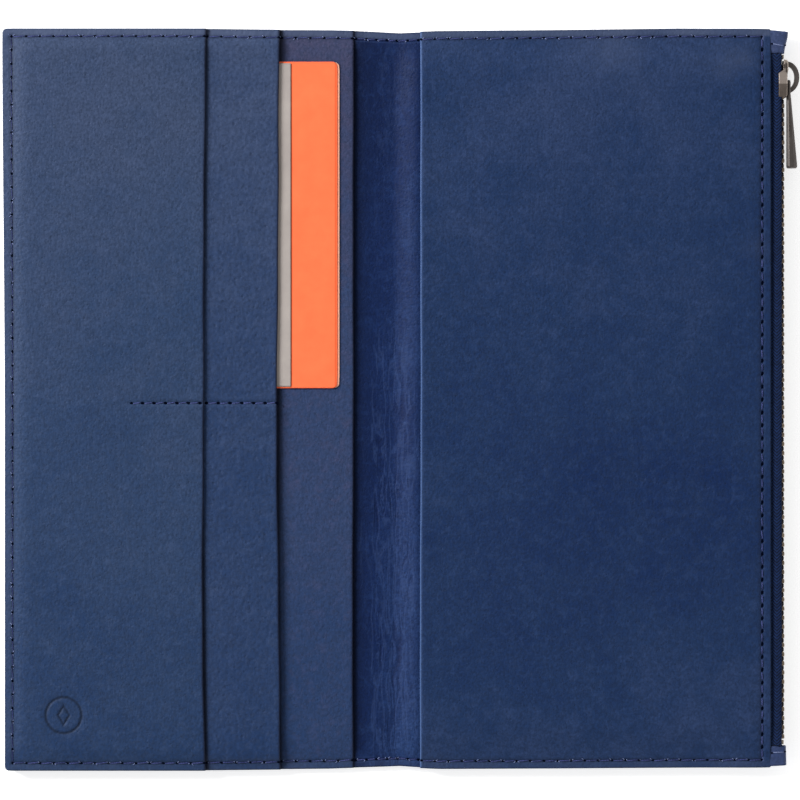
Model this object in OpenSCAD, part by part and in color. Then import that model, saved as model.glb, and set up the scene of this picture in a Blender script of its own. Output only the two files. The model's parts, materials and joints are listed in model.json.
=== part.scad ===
// Long bifold travel wallet for passports, tickets and cards.
// Lies open and flat, outer leather on z = 0. The spine's centre line is the Y axis.
// The card half is on -X, the zip half on +X. All sizes in millimetres.

/* [Leather body] */
// Height of the wallet, bottom edge to top edge
body_h = 195; // [185:0.5:205]
// Outer edge of the card half, from the spine's centre line
card_half_w = 100.4; // [98:0.2:104]
// Outer edge of the zip half's leather, from the spine's centre line
zip_half_w = 100.6; // [98:0.2:104]
// Leather left free between the two halves, which bends when the wallet closes
spine_w = 17.4; // [17:0.2:20]
// Thickness of the outer cover leather
cover_t = 1.0; // [0.8:0.05:1.1]
// Thickness of the pocket leather
pocket_t = 0.65; // [0.5:0.05:0.7]
// Thickness of the document panel leather
panel_t = 0.8; // [0.7:0.05:0.9]
// Radius of the outer corners
corner_r = 2.2; // [1:0.2:4]

/* [Card pockets] */
// Free edge of the front card pocket
front_edge_x = -47.6; // [-52:0.2:-44]
// Free edge of the middle card pocket
middle_edge_x = -28.1; // [-32:0.2:-25]
// Room for a card between two pocket layers
card_gap = 0.85; // [0.8:0.05:0.9]
// Height of the seam that splits the card slots into two columns
divider_y = -0.9; // [-10:0.1:10]

/* [Seams] */
// Distance from an edge to its seam
seam_inset = 2.1; // [1.8:0.1:2.6]
// Length of one stitch with its gap
stitch_pitch = 3.6; // [3:0.1:4.5]
// Radius of the sewing thread
thread_r = 0.2; // [0.15:0.01:0.2]
// Width of the turned hem under a pocket's sewn edges
hem_w = 3.0; // [2.8:0.1:4]

/* [Zip] */
// Pitch of the teeth in one row
tooth_pitch = 2.4; // [2.4:0.1:3]
// Size of a tooth along the chain
tooth_l = 1.1; // [0.9:0.05:1.1]
// Middle of the chain, across the zip half
chain_x = 103.6; // [103.6:0.1:103.8]
// Height of the chain's centre line
chain_z = 2.65; // [2.65:0.01:2.7]
// Thickness of the woven tape
tape_t = 0.3; // [0.25:0.01:0.3]
// Length of the slider's body
slider_l = 9.8; // [9:0.1:10]
// Overall length of the pull tab, from its eye to its tip
pull_l = 23.2; // [18:0.2:26]

/* [Leaflet] */
// Long side of the folded leaflet in the middle card slot
leaflet_h = 85.6; // [80:0.1:86]
// Short side of the leaflet
leaflet_w = 54; // [45:0.5:56]
// Thickness of one leaf
leaf_t = 0.18; // [0.1:0.01:0.2]

/* [Hidden] */
$fn = 32;

half_h = body_h / 2;
hem_y = half_h - hem_w;                // inner side of the hems
hem_clear = 0.2;                       // between a hem and the sheets inside it
sheet_y = hem_y - hem_clear;

// heights of the layers, from the cover up
lining_t = 0.5;                        // gutter leather
board_t = 0.3;
cloth_t = 0.15;
board_top = cover_t + board_t;
cloth_top = board_top + cloth_t;
gutter_top = cover_t + lining_t;
rear_z = cover_t + 1.0;                // underside of the rear pocket
rear_top = rear_z + pocket_t;
middle_z = rear_top + card_gap;
middle_top = middle_z + pocket_t;
front_z = middle_top + card_gap;
front_top = front_z + pocket_t;
gusset_top = 2.6;
panel_z = 4.2;                         // underside of the document panel
panel_top = panel_z + panel_t;

// fold lines, as far apart as the closed halves are thick, with room between them
fold = 90;                             // each of the two makes half of the half turn
hinge_z = cover_t / 2;                 // they run through the middle of the cover
closed_gap = 0.55;
fold_x = (front_top + panel_top - 2 * hinge_z + closed_gap) / 2;
rear_edge_x = -spine_w / 2 - 0.1;      // free edge of the rear pocket
panel_edge_x = spine_w / 2;            // free edge of the document panel

seam_y = half_h - seam_inset;
card_seam_x = -(card_half_w - seam_inset);
zip_seam_x = zip_half_w - seam_inset - 0.1;
zip_side_pitch = 3.4;                  // stitch pitch of the seam beside the zip
divider_x = -67.5;                     // left end of the card divider seam
groove_w = 0.62;
groove_in = 0.28;                      // depth of a seam's valley on the inside
groove_out = 0.46;                     // and on the outside, where the thread lies below the face
thread_in = -groove_in + thread_r + 0.02;
thread_out = groove_out - thread_r - 0.02;

// what stitching leaves free at its ends
corner_gap = 0.4;
edge_gap = 0.2;
fold_gap = 1.1;

cover_leather = [0.16, 0.24, 0.42];
gutter_leather = [0.12, 0.19, 0.36];
end_tab_leather = [0.2, 0.27, 0.42];
board = [0.55, 0.5, 0.42];
cloth = [0.1, 0.13, 0.22];
thread = [0.3, 0.33, 0.56];
tape = [0.1, 0.15, 0.28];
chain_metal = [0.36, 0.34, 0.33];
slider_metal = [0.4, 0.38, 0.37];

// ---------- outlines and helpers ----------
function arc(cx, cy, r, from, to) =
  [for (i = [0:6]) let (a = from + (to - from) * i / 6) [cx + r * cos(a), cy + r * sin(a)]];
// rectangle with square corners at inner_x and round ones at outer_x, to either side
function round_end(inner_x, outer_x, y0, y1, r) =
  let (side = sign(outer_x - inner_x), cx = outer_x - side * r, middle = 90 - 90 * side)
  concat([[inner_x, y0]],
    arc(cx, y0 + r, r, 90 - 180 * side, middle),
    arc(cx, y1 - r, r, middle, 90),
    [[inner_x, y1]]);
// points on a Bezier curve with four control points, without its start
function curve(p) = [for (i = [1:8]) let (t = i / 8)
  pow(1 - t, 3) * p[0] + 3 * t * pow(1 - t, 2) * p[1] + 3 * t * t * (1 - t) * p[2] + t * t * t * p[3]];
function unit(v) = v / norm(v);
// closed strip of the given thickness round a path
function strip(path, thickness) =
  let (last = len(path) - 1,
    ways = [for (i = [0:last]) unit(path[min(i + 1, last)] - path[max(i - 1, 0)])],
    offsets = [for (way = ways) [-way[1], way[0]] * thickness / 2])
  concat([for (i = [0:last]) path[i] + offsets[i]],
    [for (i = [last:-1:0]) path[i] - offsets[i]]);
// half an outline, closed by its mirror image in the second coordinate
function symmetric(half) =
  concat(half, [for (i = [len(half) - 1:-1:0]) [half[i][0], -half[i][1]]]);

module along_y(y0, y1)
  translate([0, y1, 0]) rotate([90, 0, 0]) linear_extrude(y1 - y0) children();
module along_x(x0, x1)
  translate([x0, 0, 0]) rotate([90, 0, 90]) linear_extrude(x1 - x0) children();
// each argument is a [low, high] pair
module box(xs, ys, zs)
  translate([xs[0], ys[0], zs[0]]) cube([xs[1] - xs[0], ys[1] - ys[0], zs[1] - zs[0]]);
module both_ends() {
  children();
  mirror([0, 1, 0]) children();
}
// full-height leather with rounded outer corners
module leather(inner_x, outer_x, z, thickness)
  translate([0, 0, z]) linear_extrude(thickness)
    polygon(round_end(inner_x, outer_x, -half_h, half_h, corner_r));

// ---------- sewing ----------
// stitches of thread from one point to another
module stitches(from, to, count, z) {
  way = to - from;
  for (i = [0:count - 1])
    translate([from[0] + way[0] * (i + 0.5) / count, from[1] + way[1] * (i + 0.5) / count, z])
      rotate([0, 0, atan2(way[1], way[0])]) rotate([0, 90, 0])
        cylinder(h = norm(way) / count * 0.8, r = thread_r, center = true);
}
// stitches along x, short of x0 and x1 by the two gaps; the pitch sets the count if none is given
module stitch_row(x0, x1, gaps, z, count = undef, y = seam_y) {
  n = is_undef(count) ? round((x1 - x0) / stitch_pitch) : count;
  stitches([x0 + gaps[0], y], [x1 - gaps[1], y], n, z);
}
module stitch_side(x, z, pitch = stitch_pitch)
  stitches([x, -seam_y + corner_gap], [x, seam_y - corner_gap], round(2 * seam_y / pitch), z);

// z ranges of a seam's valley, in an inner face at height z and in the outer face
function inner_cut(z) = [z - groove_in, z + 1];
outer_cut = [-1, groove_out];
module groove_row(x0, x1, zs, y = seam_y)
  box([min(x0, x1), max(x0, x1)], [y - groove_w / 2, y + groove_w / 2], zs);
module groove_ends(x0, x1, zs) both_ends() groove_row(x0, x1, zs);
module groove_side(x, zs) box([x - groove_w / 2, x + groove_w / 2], [-seam_y, seam_y], zs);

// ---------- outer cover ----------
// the bevels beside a fold line, cut back so that the leather can turn inward
module fold_cut(x, top) {
  slit = 0.02;
  reach = slit + 0.06 + (top + 0.5 - hinge_z) * tan(fold / 2);
  along_y(-half_h - 1, half_h + 1)
    polygon([[x - slit, -1], [x + slit, -1], [x + slit, hinge_z],
      [x + reach, top + 0.5], [x - reach, top + 0.5], [x - slit, hinge_z]]);
}
// side is -1 for the card half, 1 for the zip half
module cover_half(side, outer_x, seam_x) difference() {
  leather(side * fold_x, outer_x, 0, cover_t);
  fold_cut(side * fold_x, cover_t);
  groove_ends(side * (fold_x - 1), seam_x + side * groove_w / 2, outer_cut);
  groove_side(seam_x, outer_cut);
}
// a layer between the two fold lines
module spine_layer(zs, groove_zs) difference() {
  box([-fold_x, fold_x], [-half_h, half_h], zs);
  for (side = [1, -1]) fold_cut(side * fold_x, zs[1]);
  groove_ends(-fold_x - 1, fold_x + 1, groove_zs);
}
module cover_front() color(cover_leather) cover_half(-1, -card_half_w, card_seam_x);
module cover_back() color(cover_leather) cover_half(1, zip_half_w, zip_seam_x);
module cover_spine() color(cover_leather) spine_layer([0, cover_t], outer_cut);

// ---------- boards and linings ----------
front_sheet = [-card_half_w + hem_w + hem_clear, -17];
back_sheet = [17, 92];
module sheet(xs, zs) box(xs, [-sheet_y, sheet_y], zs);
module front_board() color(board) sheet(front_sheet, [cover_t, board_top]);
module back_board() color(board) sheet(back_sheet, [cover_t, board_top]);
module front_lining() color(cloth) sheet(front_sheet, [board_top, cloth_top]);
module zip_pocket_lining() color(cloth) sheet(back_sheet, [board_top, cloth_top]);

// wall between the zip pocket and the document pocket, with the gussets that close its two ends
wall_t = 0.25;
wall_x = 9.3;
// x, z along the wall
wall_path = [[wall_x, 1.68], [16.4, 1.68], [20.5, 2.28], [88, 2.28], [94.2, 3.6], [99.6, 3.6]];
module zip_pocket_divider() color(cloth) union() {
  along_y(-hem_y, hem_y) polygon(strip(wall_path, wall_t));
  both_ends() box([wall_x, zip_half_w], [hem_y, half_h], [cover_t, gusset_top]);
}

// gutter leather, full height near the fold and tucked between the hems beyond pocket_edge
gutter_reach = 16.8;
module gutter_half(side, pocket_edge) {
  inner_x = side * fold_x;
  outer_x = side * gutter_reach;
  step_x = pocket_edge - side * 0.1;
  difference() {
    translate([0, 0, cover_t]) linear_extrude(lining_t)
      polygon([[inner_x, -half_h], [step_x, -half_h], [step_x, -sheet_y], [outer_x, -sheet_y],
        [outer_x, sheet_y], [step_x, sheet_y], [step_x, half_h], [inner_x, half_h]]);
    fold_cut(inner_x, gutter_top);
    groove_ends(side * (fold_x - 1), pocket_edge + side, inner_cut(gutter_top));
  }
}
module gutter_lining_front() color(gutter_leather) gutter_half(-1, rear_edge_x);
module gutter_lining_back() color(gutter_leather) gutter_half(1, panel_edge_x);
module gutter_lining_spine() color(gutter_leather)
  spine_layer([cover_t, gutter_top], inner_cut(gutter_top));

// ---------- card pockets ----------
// a leather panel with hems under its left, top and bottom edges, down to hem_z;
// seen_x is where its visible strip starts
module card_pocket(edge_x, z, hem_z, seen_x, side_seam = false) difference() {
  union() {
    leather(edge_x, -card_half_w, z, pocket_t);
    difference() {
      leather(edge_x, -card_half_w, hem_z, z - hem_z);
      box([-card_half_w + hem_w, 0], [-hem_y, hem_y], [hem_z - 1, z]);
    }
  }
  groove_ends(seen_x, 0, inner_cut(z + pocket_t));
  if (side_seam) groove_side(card_seam_x, inner_cut(z + pocket_t));
}
module card_pocket_rear() color([0.2, 0.28, 0.42])
  card_pocket(rear_edge_x, rear_z, cover_t, middle_edge_x);
module card_pocket_middle() color([0.21, 0.29, 0.43]) difference() {
  card_pocket(middle_edge_x, middle_z, rear_top, front_edge_x);
  groove_row(front_edge_x, 0, inner_cut(middle_top), y = divider_y);
}
module card_pocket_front() color([0.22, 0.3, 0.44]) difference() {
  card_pocket(front_edge_x, front_z, middle_top, card_seam_x - groove_w / 2, side_seam = true);
  groove_row(divider_x - 0.1, 0, inner_cut(front_top), y = divider_y);
}
module stitching_pockets() color(thread) {
  stitch_side(card_seam_x, front_top + thread_in);
  both_ends() {
    stitch_row(card_seam_x, front_edge_x, [corner_gap, edge_gap], front_top + thread_in);
    stitch_row(front_edge_x, middle_edge_x, [edge_gap, edge_gap], middle_top + thread_in);
    stitch_row(middle_edge_x, rear_edge_x, [edge_gap, edge_gap], rear_top + thread_in);
    stitch_row(rear_edge_x, -fold_x, [edge_gap, fold_gap], gutter_top + thread_in, count = 1);
  }
}
module stitching_card_divider() color(thread) {
  stitch_row(divider_x, front_edge_x, [0, edge_gap], front_top + thread_in,
    count = 6, y = divider_y);
  stitch_row(front_edge_x, middle_edge_x, [edge_gap, edge_gap], middle_top + thread_in,
    count = 6, y = divider_y);
}
module stitching_cover_front() color(thread) {
  stitch_side(card_seam_x, thread_out);
  both_ends() stitch_row(card_seam_x, -fold_x, [corner_gap, edge_gap], thread_out);
}

// ---------- document panel ----------
module document_panel() color([0.16, 0.24, 0.4]) difference() {
  union() {
    leather(panel_edge_x, zip_half_w + 0.2, panel_z, panel_t);
    both_ends() box([panel_edge_x, zip_half_w], [hem_y, half_h - 0.6], [gusset_top, panel_z]);
  }
  groove_ends(0, zip_seam_x + groove_w / 2, inner_cut(panel_top));
  groove_side(zip_seam_x, inner_cut(panel_top));
}
module stitching_panel() color(thread) {
  stitch_side(zip_seam_x, panel_top + thread_in, zip_side_pitch);
  both_ends() {
    stitch_row(panel_edge_x, zip_seam_x, [0.3, corner_gap], panel_top + thread_in);
    stitch_row(fold_x, panel_edge_x, [fold_gap, edge_gap], gutter_top + thread_in, count = 1);
  }
}
module stitching_cover_back() color(thread) {
  stitch_side(zip_seam_x, thread_out, zip_side_pitch);
  both_ends() stitch_row(fold_x, zip_seam_x, [edge_gap, corner_gap], thread_out);
}
// the seam where it crosses the spine, inside and outside
module stitching_spine() color(thread) both_ends() {
  stitch_row(-fold_x, fold_x, [1.25, 1.25], gutter_top + thread_in, count = 2);
  stitch_row(-fold_x, fold_x, [0.3, 0.3], thread_out, count = 3);
}

// ---------- zip ----------
// the tape in section: sewn under the panel as far as tape_x, then free, and turned in to the teeth
tape_inner_x = 93;
tape_x = 101.2;
tape_z = 3.95;
tape_end_y = 90.8;                     // end of the tape's free part
bend = [102.5, 4.32];
edge_path = concat([[tape_x + 0.02, tape_z]],
  curve([[tape_x, tape_z], [101.8, tape_z], [102.0, 4.25], bend]),
  curve([bend, [103.1, 4.41], [chain_x, 4.5], [chain_x, 3.95]]),
  [[chain_x, 3.3]]);
module tape_sewn() {
  zs = [tape_z - tape_t / 2, tape_z + tape_t / 2];
  box([tape_inner_x, tape_x], [-tape_end_y, tape_end_y], zs);
  both_ends() box([tape_inner_x, 100.5], [tape_end_y - 0.1, sheet_y], zs);
}
module tape_edge() along_y(-tape_end_y, tape_end_y) polygon(strip(edge_path, tape_t));
// mirrors an upper part of the zip into its lower one
module flip() translate([0, 0, 2 * chain_z]) mirror([0, 0, 1]) children();
module zip_tape_upper() color(tape) tape_sewn();
module zip_tape_lower() color(tape) flip() tape_sewn();
module zip_tape_edge_upper() color(tape) tape_edge();
module zip_tape_edge_lower() color(tape) flip() tape_edge();

// sections of the metal parts: x, z from the chain's centre line
tooth = [[-0.42, -0.35], [0.42, -0.35], [0.65, 0.1], [0.65, 1.4], [0.2, 1.4],
  [0.2, 0.6], [-0.2, 0.6], [-0.2, 1.4], [-0.65, 1.4], [-0.65, 0.1]];
top_stop = [[-0.55, 0.45], [0.55, 0.45], [0.55, 1.4], [0.2, 1.4],
  [0.2, 0.6], [-0.2, 0.6], [-0.2, 1.4], [-0.55, 1.4]];
bottom_stop = [[-0.55, -0.55], [0.55, -0.55], [0.65, -0.3], [0.65, 0.3],
  [0.55, 0.55], [-0.55, 0.55], [-0.65, 0.3], [-0.65, -0.3]];
first_tooth_y = -88.4;
last_tooth_y = 82.2;                   // limit for the last upper tooth
n_teeth = floor((last_tooth_y - first_tooth_y) / tooth_pitch) + 1;
module chain_part(section, y, length)
  translate([chain_x, y, chain_z]) along_y(-length / 2, length / 2) polygon(section);
module teeth_row(first_y, count)
  for (i = [0:count - 1]) chain_part(tooth, first_y + i * tooth_pitch, tooth_l);
module zip_teeth_upper() color(chain_metal) teeth_row(first_tooth_y, n_teeth);
module zip_teeth_lower() color(chain_metal)
  flip() teeth_row(first_tooth_y + tooth_pitch / 2, n_teeth - 1);
module top_stop_half() chain_part(top_stop, 90.05, 1);
module zip_top_stop_upper() color(chain_metal) top_stop_half();
module zip_top_stop_lower() color(chain_metal) flip() top_stop_half();
// a staple across both rows, under the lowest teeth
module zip_bottom_stop() color(chain_metal) chain_part(bottom_stop, -90, 1.1);

// leather folded round each end of the zip
end_tab_top = 4.15;
// x, z round the outside, then back round the inside
end_tab_section = [[zip_half_w, 1.1], [104.2, 1.1], [104.7, 1.4], [104.85, 1.9],
  [104.85, 3.35], [104.7, 3.85], [104.2, end_tab_top], [zip_half_w, end_tab_top],
  [zip_half_w, 3.35], [103.9, 3.35], [104.05, 3.1],
  [104.05, 2.15], [103.9, 1.9], [zip_half_w, 1.9]];
module end_tab() color(end_tab_leather) along_y(90.95, half_h - 0.1) polygon(end_tab_section);
module zip_end_tab_top() end_tab();
module zip_end_tab_bottom() mirror([0, 1, 0]) end_tab();
module stitching_end_tabs() color(thread)
  both_ends() stitches([101.1, 93.9], [104.1, 93.9], 1, end_tab_top + thread_r + 0.01);

// ---------- slider and pull ----------
slider_y = 84.3;                       // middle of the slider with the zip closed
tail_y = slider_y - slider_l / 2;
head_y = slider_y + slider_l / 2;
tail_hw = 2.12;                        // half widths of the front plate
head_hw = 2.6;
plate_in = chain_x - 0.8;              // faces of the slider's channel
plate_out = chain_x + 0.8;
plate_face = plate_out + 0.6;          // outside of the slider's front plate
// halves of the symmetric outlines: y, z from the chain's centre line
front_plate = [[tail_y, tail_hw - 0.5], [tail_y + 0.5, tail_hw], [head_y - 3.2, head_hw],
  [head_y - 1.2, head_hw], [head_y - 0.3, head_hw - 0.7], [head_y, head_hw - 1.6]];
back_plate = [[tail_y, 0.8], [tail_y + 0.5, 1.1], [head_y - 2.2, 1.25],
  [head_y - 0.9, 1.1], [head_y - 0.2, 0.5]];
wedge = [[head_y - 3.4, 0.5], [head_y - 1.0, 0.5], [head_y - 0.4, 0.3]];
wedge_tip = [head_y - 4.6, 0];
module slider_body() color(slider_metal) translate([0, 0, chain_z]) union() {
  along_x(plate_out, plate_face) polygon(symmetric(front_plate));
  // flanges that hold the two rows together, open for the tapes
  for (s = [1, -1]) along_x(plate_out - 0.5, plate_out + 0.1)
    polygon([[tail_y + 0.5, s * (tail_hw - 0.5)], [tail_y + 0.5, s * tail_hw],
      [head_y - 3.2, s * head_hw], [head_y - 1.2, s * head_hw],
      [head_y - 1.2, s * (head_hw - 0.5)], [head_y - 3.2, s * (head_hw - 0.5)]]);
  // wedge that parts the rows, and the narrow plate behind the chain
  along_x(plate_in - 0.1, plate_out + 0.1) polygon(concat([wedge_tip], symmetric(wedge)));
  along_x(plate_in - 0.45, plate_in) polygon(symmetric(back_plate));
}

// half an oval ring, standing on the slider's front plate
arch_y = 84.65;
arch_w = 1.5;
arch_outer = [3.3, 4.2];               // radii along x and y
arch_inner = [2.1, 3.0];
function half_oval(radii) = [for (i = [0:24]) let (a = -90 + 180 * i / 24)
  [plate_face + radii[0] * cos(a), arch_y + radii[1] * sin(a)]];
module slider_bridge() color(slider_metal)
  translate([0, 0, chain_z - arch_w / 2]) linear_extrude(arch_w) difference() {
    polygon(half_oval(arch_outer));
    polygon(concat([[plate_face - 1, arch_y - arch_inner[1]]], half_oval(arch_inner),
      [[plate_face - 1, arch_y + arch_inner[1]]]));
  }

pull_x = plate_face + 0.55;            // swing axis of the pull tab
pull_hx = 0.45;                        // half thickness of the eye
eye_y = [-5.6, -0.6];
eye_hw = 1.6;
// half sections of the tab: x, z
pull_neck = [[0, -0.9], [0.5, -0.9], [0.95, -0.55]];
pull_tip = [[0, -1.7], [1.7, -1.7], [2.7, -1.1]];
module pull_slice(half, x, y, length)
  translate([x, 0, 0]) along_y(y - length, y) polygon(symmetric(half));
module pull_tab() color([0.42, 0.4, 0.39]) translate([pull_x, arch_y, chain_z]) union() {
  // eye that rides on the bridge
  difference() {
    box([-pull_hx, pull_hx], eye_y, [-eye_hw, eye_hw]);
    box([-1, 1], [-4.45, -1.25], [-0.95, 0.95]);
    for (s = [1, -1]) translate([0, eye_y[1], s * eye_hw]) rotate([45, 0, 0])
      cube([3, 0.9, 0.9], center = true);
  }
  hull() {
    box([-pull_hx, pull_hx], [eye_y[0], -4.9], [-eye_hw, eye_hw]);
    pull_slice(pull_neck, -pull_hx, -5.9, 0.1);
  }
  hull() {
    pull_slice(pull_neck, -pull_hx, -5.7, 0.2);
    pull_slice(pull_tip, -0.5, eye_y[1] - pull_l + 0.2, 0.2);
  }
}

// ---------- leaflet ----------
leaf_x1 = -12.5;
leaf_x0 = leaf_x1 - leaflet_w;
leaf_y1 = 88.7;
leaf_y0 = leaf_y1 - leaflet_h;
leaf_z = rear_top + 0.08;
// one leaf of the stack, longer at each end by extra_y
module leaf(level, x0, x1, extra_y, r)
  translate([0, 0, leaf_z + level * (leaf_t + 0.02)]) linear_extrude(leaf_t)
    polygon(round_end(x0, x1, leaf_y0 - extra_y, leaf_y1 + extra_y, r));
module leaflet_back_page() color([0.93, 0.86, 0.8])
  leaf(0, leaf_x0, leaf_x1, extra_y = 0, r = 1.2);
module leaflet_cover() color([1, 0.5, 0.34])
  leaf(1, leaf_x0, leaf_x1 - 0.5, extra_y = 0.1, r = 1.2);
module leaflet_front_page() color([0.68, 0.65, 0.64])
  leaf(2, leaf_x0 + 0.4, -25.2, extra_y = -0.3, r = 0.2);

cover_front();
cover_spine();
cover_back();
front_board();
back_board();
front_lining();
zip_pocket_lining();
zip_pocket_divider();
gutter_lining_front();
gutter_lining_spine();
gutter_lining_back();
card_pocket_rear();
card_pocket_middle();
card_pocket_front();
document_panel();
stitching_pockets();
stitching_card_divider();
stitching_cover_front();
stitching_panel();
stitching_cover_back();
stitching_spine();
zip_tape_upper();
zip_tape_lower();
zip_tape_edge_upper();
zip_tape_edge_lower();
zip_teeth_upper();
zip_teeth_lower();
zip_top_stop_upper();
zip_top_stop_lower();
zip_bottom_stop();
zip_end_tab_top();
zip_end_tab_bottom();
stitching_end_tabs();
slider_body();
slider_bridge();
pull_tab();
leaflet_back_page();
leaflet_cover();
leaflet_front_page();
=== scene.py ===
"""A leather card wallet with a zip pocket, lying open on a pale floor.

x runs across both halves, y along the spine and z up from the cover's outer face. The front half
(x < 0) has three stepped card pockets and a leaflet; the back half (x > 0) has the document panel,
with the zip along its right edge. Sizes are in mm; meshes are made in metres. Colours are sRGB
0-255.
"""
import json
import math
from collections import defaultdict

import bmesh
import bpy
import numpy as np
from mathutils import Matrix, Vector


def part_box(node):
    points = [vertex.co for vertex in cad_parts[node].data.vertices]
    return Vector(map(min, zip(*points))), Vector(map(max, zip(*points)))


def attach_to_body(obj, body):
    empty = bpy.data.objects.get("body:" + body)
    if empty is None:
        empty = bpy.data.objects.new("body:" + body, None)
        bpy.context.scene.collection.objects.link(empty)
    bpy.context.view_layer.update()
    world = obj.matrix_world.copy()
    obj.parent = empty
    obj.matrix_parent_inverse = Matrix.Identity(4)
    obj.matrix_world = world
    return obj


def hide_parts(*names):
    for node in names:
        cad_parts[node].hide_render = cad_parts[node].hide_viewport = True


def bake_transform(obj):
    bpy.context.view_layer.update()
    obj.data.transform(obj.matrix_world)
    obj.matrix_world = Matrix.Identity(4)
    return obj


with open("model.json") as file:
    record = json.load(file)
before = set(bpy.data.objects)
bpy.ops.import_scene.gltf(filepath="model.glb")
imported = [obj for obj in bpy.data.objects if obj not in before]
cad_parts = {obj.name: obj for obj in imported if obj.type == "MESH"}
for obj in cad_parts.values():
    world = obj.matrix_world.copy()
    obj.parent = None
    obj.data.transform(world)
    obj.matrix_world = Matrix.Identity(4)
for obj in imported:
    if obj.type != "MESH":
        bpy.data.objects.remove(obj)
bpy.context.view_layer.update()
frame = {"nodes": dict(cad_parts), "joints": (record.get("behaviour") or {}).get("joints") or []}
MM = 0.001
joints = {j["name"]: j for j in frame["joints"]}


def node_box(node):
    low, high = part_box(node)
    return np.array(low) / MM, np.array(high) / MM


# ---------------------------------------------------------------- sizes from the CAD frame
(LEFT, _, _), (FRONT_X, _, _) = node_box("card_pocket_front")
MIDDLE_X = node_box("card_pocket_middle")[1][0]    # FRONT_X, MIDDLE_X, REAR_X: pocket mouths
REAR_X = node_box("card_pocket_rear")[1][0]
(PANEL_X, _, _), (PANEL_RIGHT, _, _) = node_box("document_panel")
RIGHT, HALF_Y, COVER_TOP = node_box("cover_back")[1]
seam_low, seam_high = node_box("stitching_pockets")
SEAM_Y = seam_high[1] - 0.2
SEAM_LEFT = seam_low[0] + 0.2
SEAM_RIGHT = node_box("stitching_panel")[1][0] - 0.2
divider_low, divider_high = node_box("stitching_card_divider")
DIVIDER_Y = (divider_low[1] + divider_high[1]) / 2
LEAFLET = {n: node_box(n) for n in ("leaflet_back_page", "leaflet_cover", "leaflet_front_page")}
teeth_low, teeth_high = node_box("zip_teeth_upper")
CHAIN_X = (teeth_low[0] + teeth_high[0]) / 2
CHAIN_Z = joints["pull_swing"]["pos_m"][2] / MM
MOUTH_X = joints["zip_mouth_upper_open"]["pos_m"][0] / MM
MOUTH_Z = joints["zip_mouth_upper_open"]["pos_m"][2] / MM
tab_low, tab_high = node_box("zip_end_tab_top")
slider_low, slider_high = node_box("slider_body")
pull_low, pull_high = node_box("pull_tab")
FOLD_X = joints["spine_fold"]["pos_m"][0] / MM
BLEND = 3.5                                 # half the width over which the spine bends
PITCH, EDGE_PITCH, DIVIDER_PITCH = 3.6, 3.4, 3.26       # stitch lengths
MARK_X, MARK_Y = LEFT + 15.6, -HALF_Y + 14.7            # centre of the stamped mark
rng = np.random.default_rng(7)


def ease(t):
    t = np.clip(t, 0, 1)
    return t * t * (3 - 2 * t)


def bell(distance, width):
    return np.exp(-(distance / width) ** 2)


# how far the +y and -y edges draw in at each x
INSET_X = np.array([-101, -48, -29, -15, -8.1, 0, 3.4, 9.2, 13.9, 45.4, 77, 99, 103])
INSET_TOP = np.array([0, 0, 0.2, 0.25, 0.4, 0.8, 1.0, 0.8, 0.65, 0.4, 0.0, 0.15, 0.3])
INSET_BOTTOM = np.array([0, 0, 0.2, 0.35, 0.6, 0.85, 1.0, 0.65, 0.45, 0.6, 0.8, 0.9, 0.95])


def warp(x, y):
    """Moves points of the straight-sided plan onto the real outline."""
    inset = np.where(y > 0, np.interp(x, INSET_X, INSET_TOP), np.interp(x, INSET_X, INSET_BOTTOM))
    bow = 0.7 * ease((y + 10) / 110) * ease((-96 - x) / 5)
    return x - bow, y * (1 - inset / HALF_Y)


# ---------------------------------------------------------------- surfaces of the layers
def edge_distance(x, y):
    """Distance to the front half's outer edges, rounded at the corners."""
    dx = x - LEFT
    dy = HALF_Y - np.abs(y)
    r = 7.0
    ax, ay = np.clip(r - dx, 0, None), np.clip(r - dy, 0, None)
    return np.where((ax > 0) & (ay > 0), np.maximum(r - np.hypot(ax, ay), 0), np.minimum(dx, dy))


def waves(x, y, height, k=1.0, phase=0.0):
    """Slow unevenness of the leather."""
    return height * (np.sin(x * 0.045 * k + 1.3 + phase) * np.cos(y * 0.038 * k + 0.4 + phase)
                     + 0.5 * np.sin(x * 0.09 * k - y * 0.07 * k + 2.1 + phase)
                     + 0.25 * np.sin(x * 0.21 * k + 0.5 * np.sin(y * 0.11 + phase) + phase))


def seam_dip(distance, along, pitch, depth=0.24, width=0.55):
    return depth * bell(distance, width) * (0.72 + 0.28 * np.cos(2 * np.pi * along / pitch))


def right_of_seam(x):
    return ease((x - SEAM_LEFT + 0.9) / 0.8)


def left_of_seam(x):
    return ease((SEAM_RIGHT + 0.9 - x) / 0.8)


def between_seams(y):
    return ease((SEAM_Y + 0.9 - np.abs(y)) / 0.8)


def seam_left(x, y):
    dip = seam_dip(np.abs(y) - SEAM_Y, x - SEAM_LEFT, PITCH) * right_of_seam(x)
    return np.maximum(dip, seam_dip(x - SEAM_LEFT, y, PITCH, 0.15) * between_seams(y))


def seam_right(x, y):
    dip = seam_dip(np.abs(y) - SEAM_Y, x - PANEL_X, PITCH) * left_of_seam(x)
    return np.maximum(dip, seam_dip(x - SEAM_RIGHT, y, EDGE_PITCH, 0.34, 0.5) * between_seams(y))


def seam_dark(x, y):
    """Painted shade in the valley along the sewn lines."""
    rows = bell(np.abs(y) - SEAM_Y, 0.5) * right_of_seam(x) * left_of_seam(x)
    sides = np.maximum(bell(x - SEAM_LEFT, 0.5), 0.35 * bell(x - SEAM_RIGHT, 0.4))
    return 0.75 * np.maximum(rows, sides * between_seams(y))


def divider_dip(x, y):
    ends = ease((x - divider_low[0] + 1.5) / 1.5) * ease((divider_high[0] + 1.0 - x) / 1.0)
    return 0.3 * bell(y - DIVIDER_Y, 0.55) * ends


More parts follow.
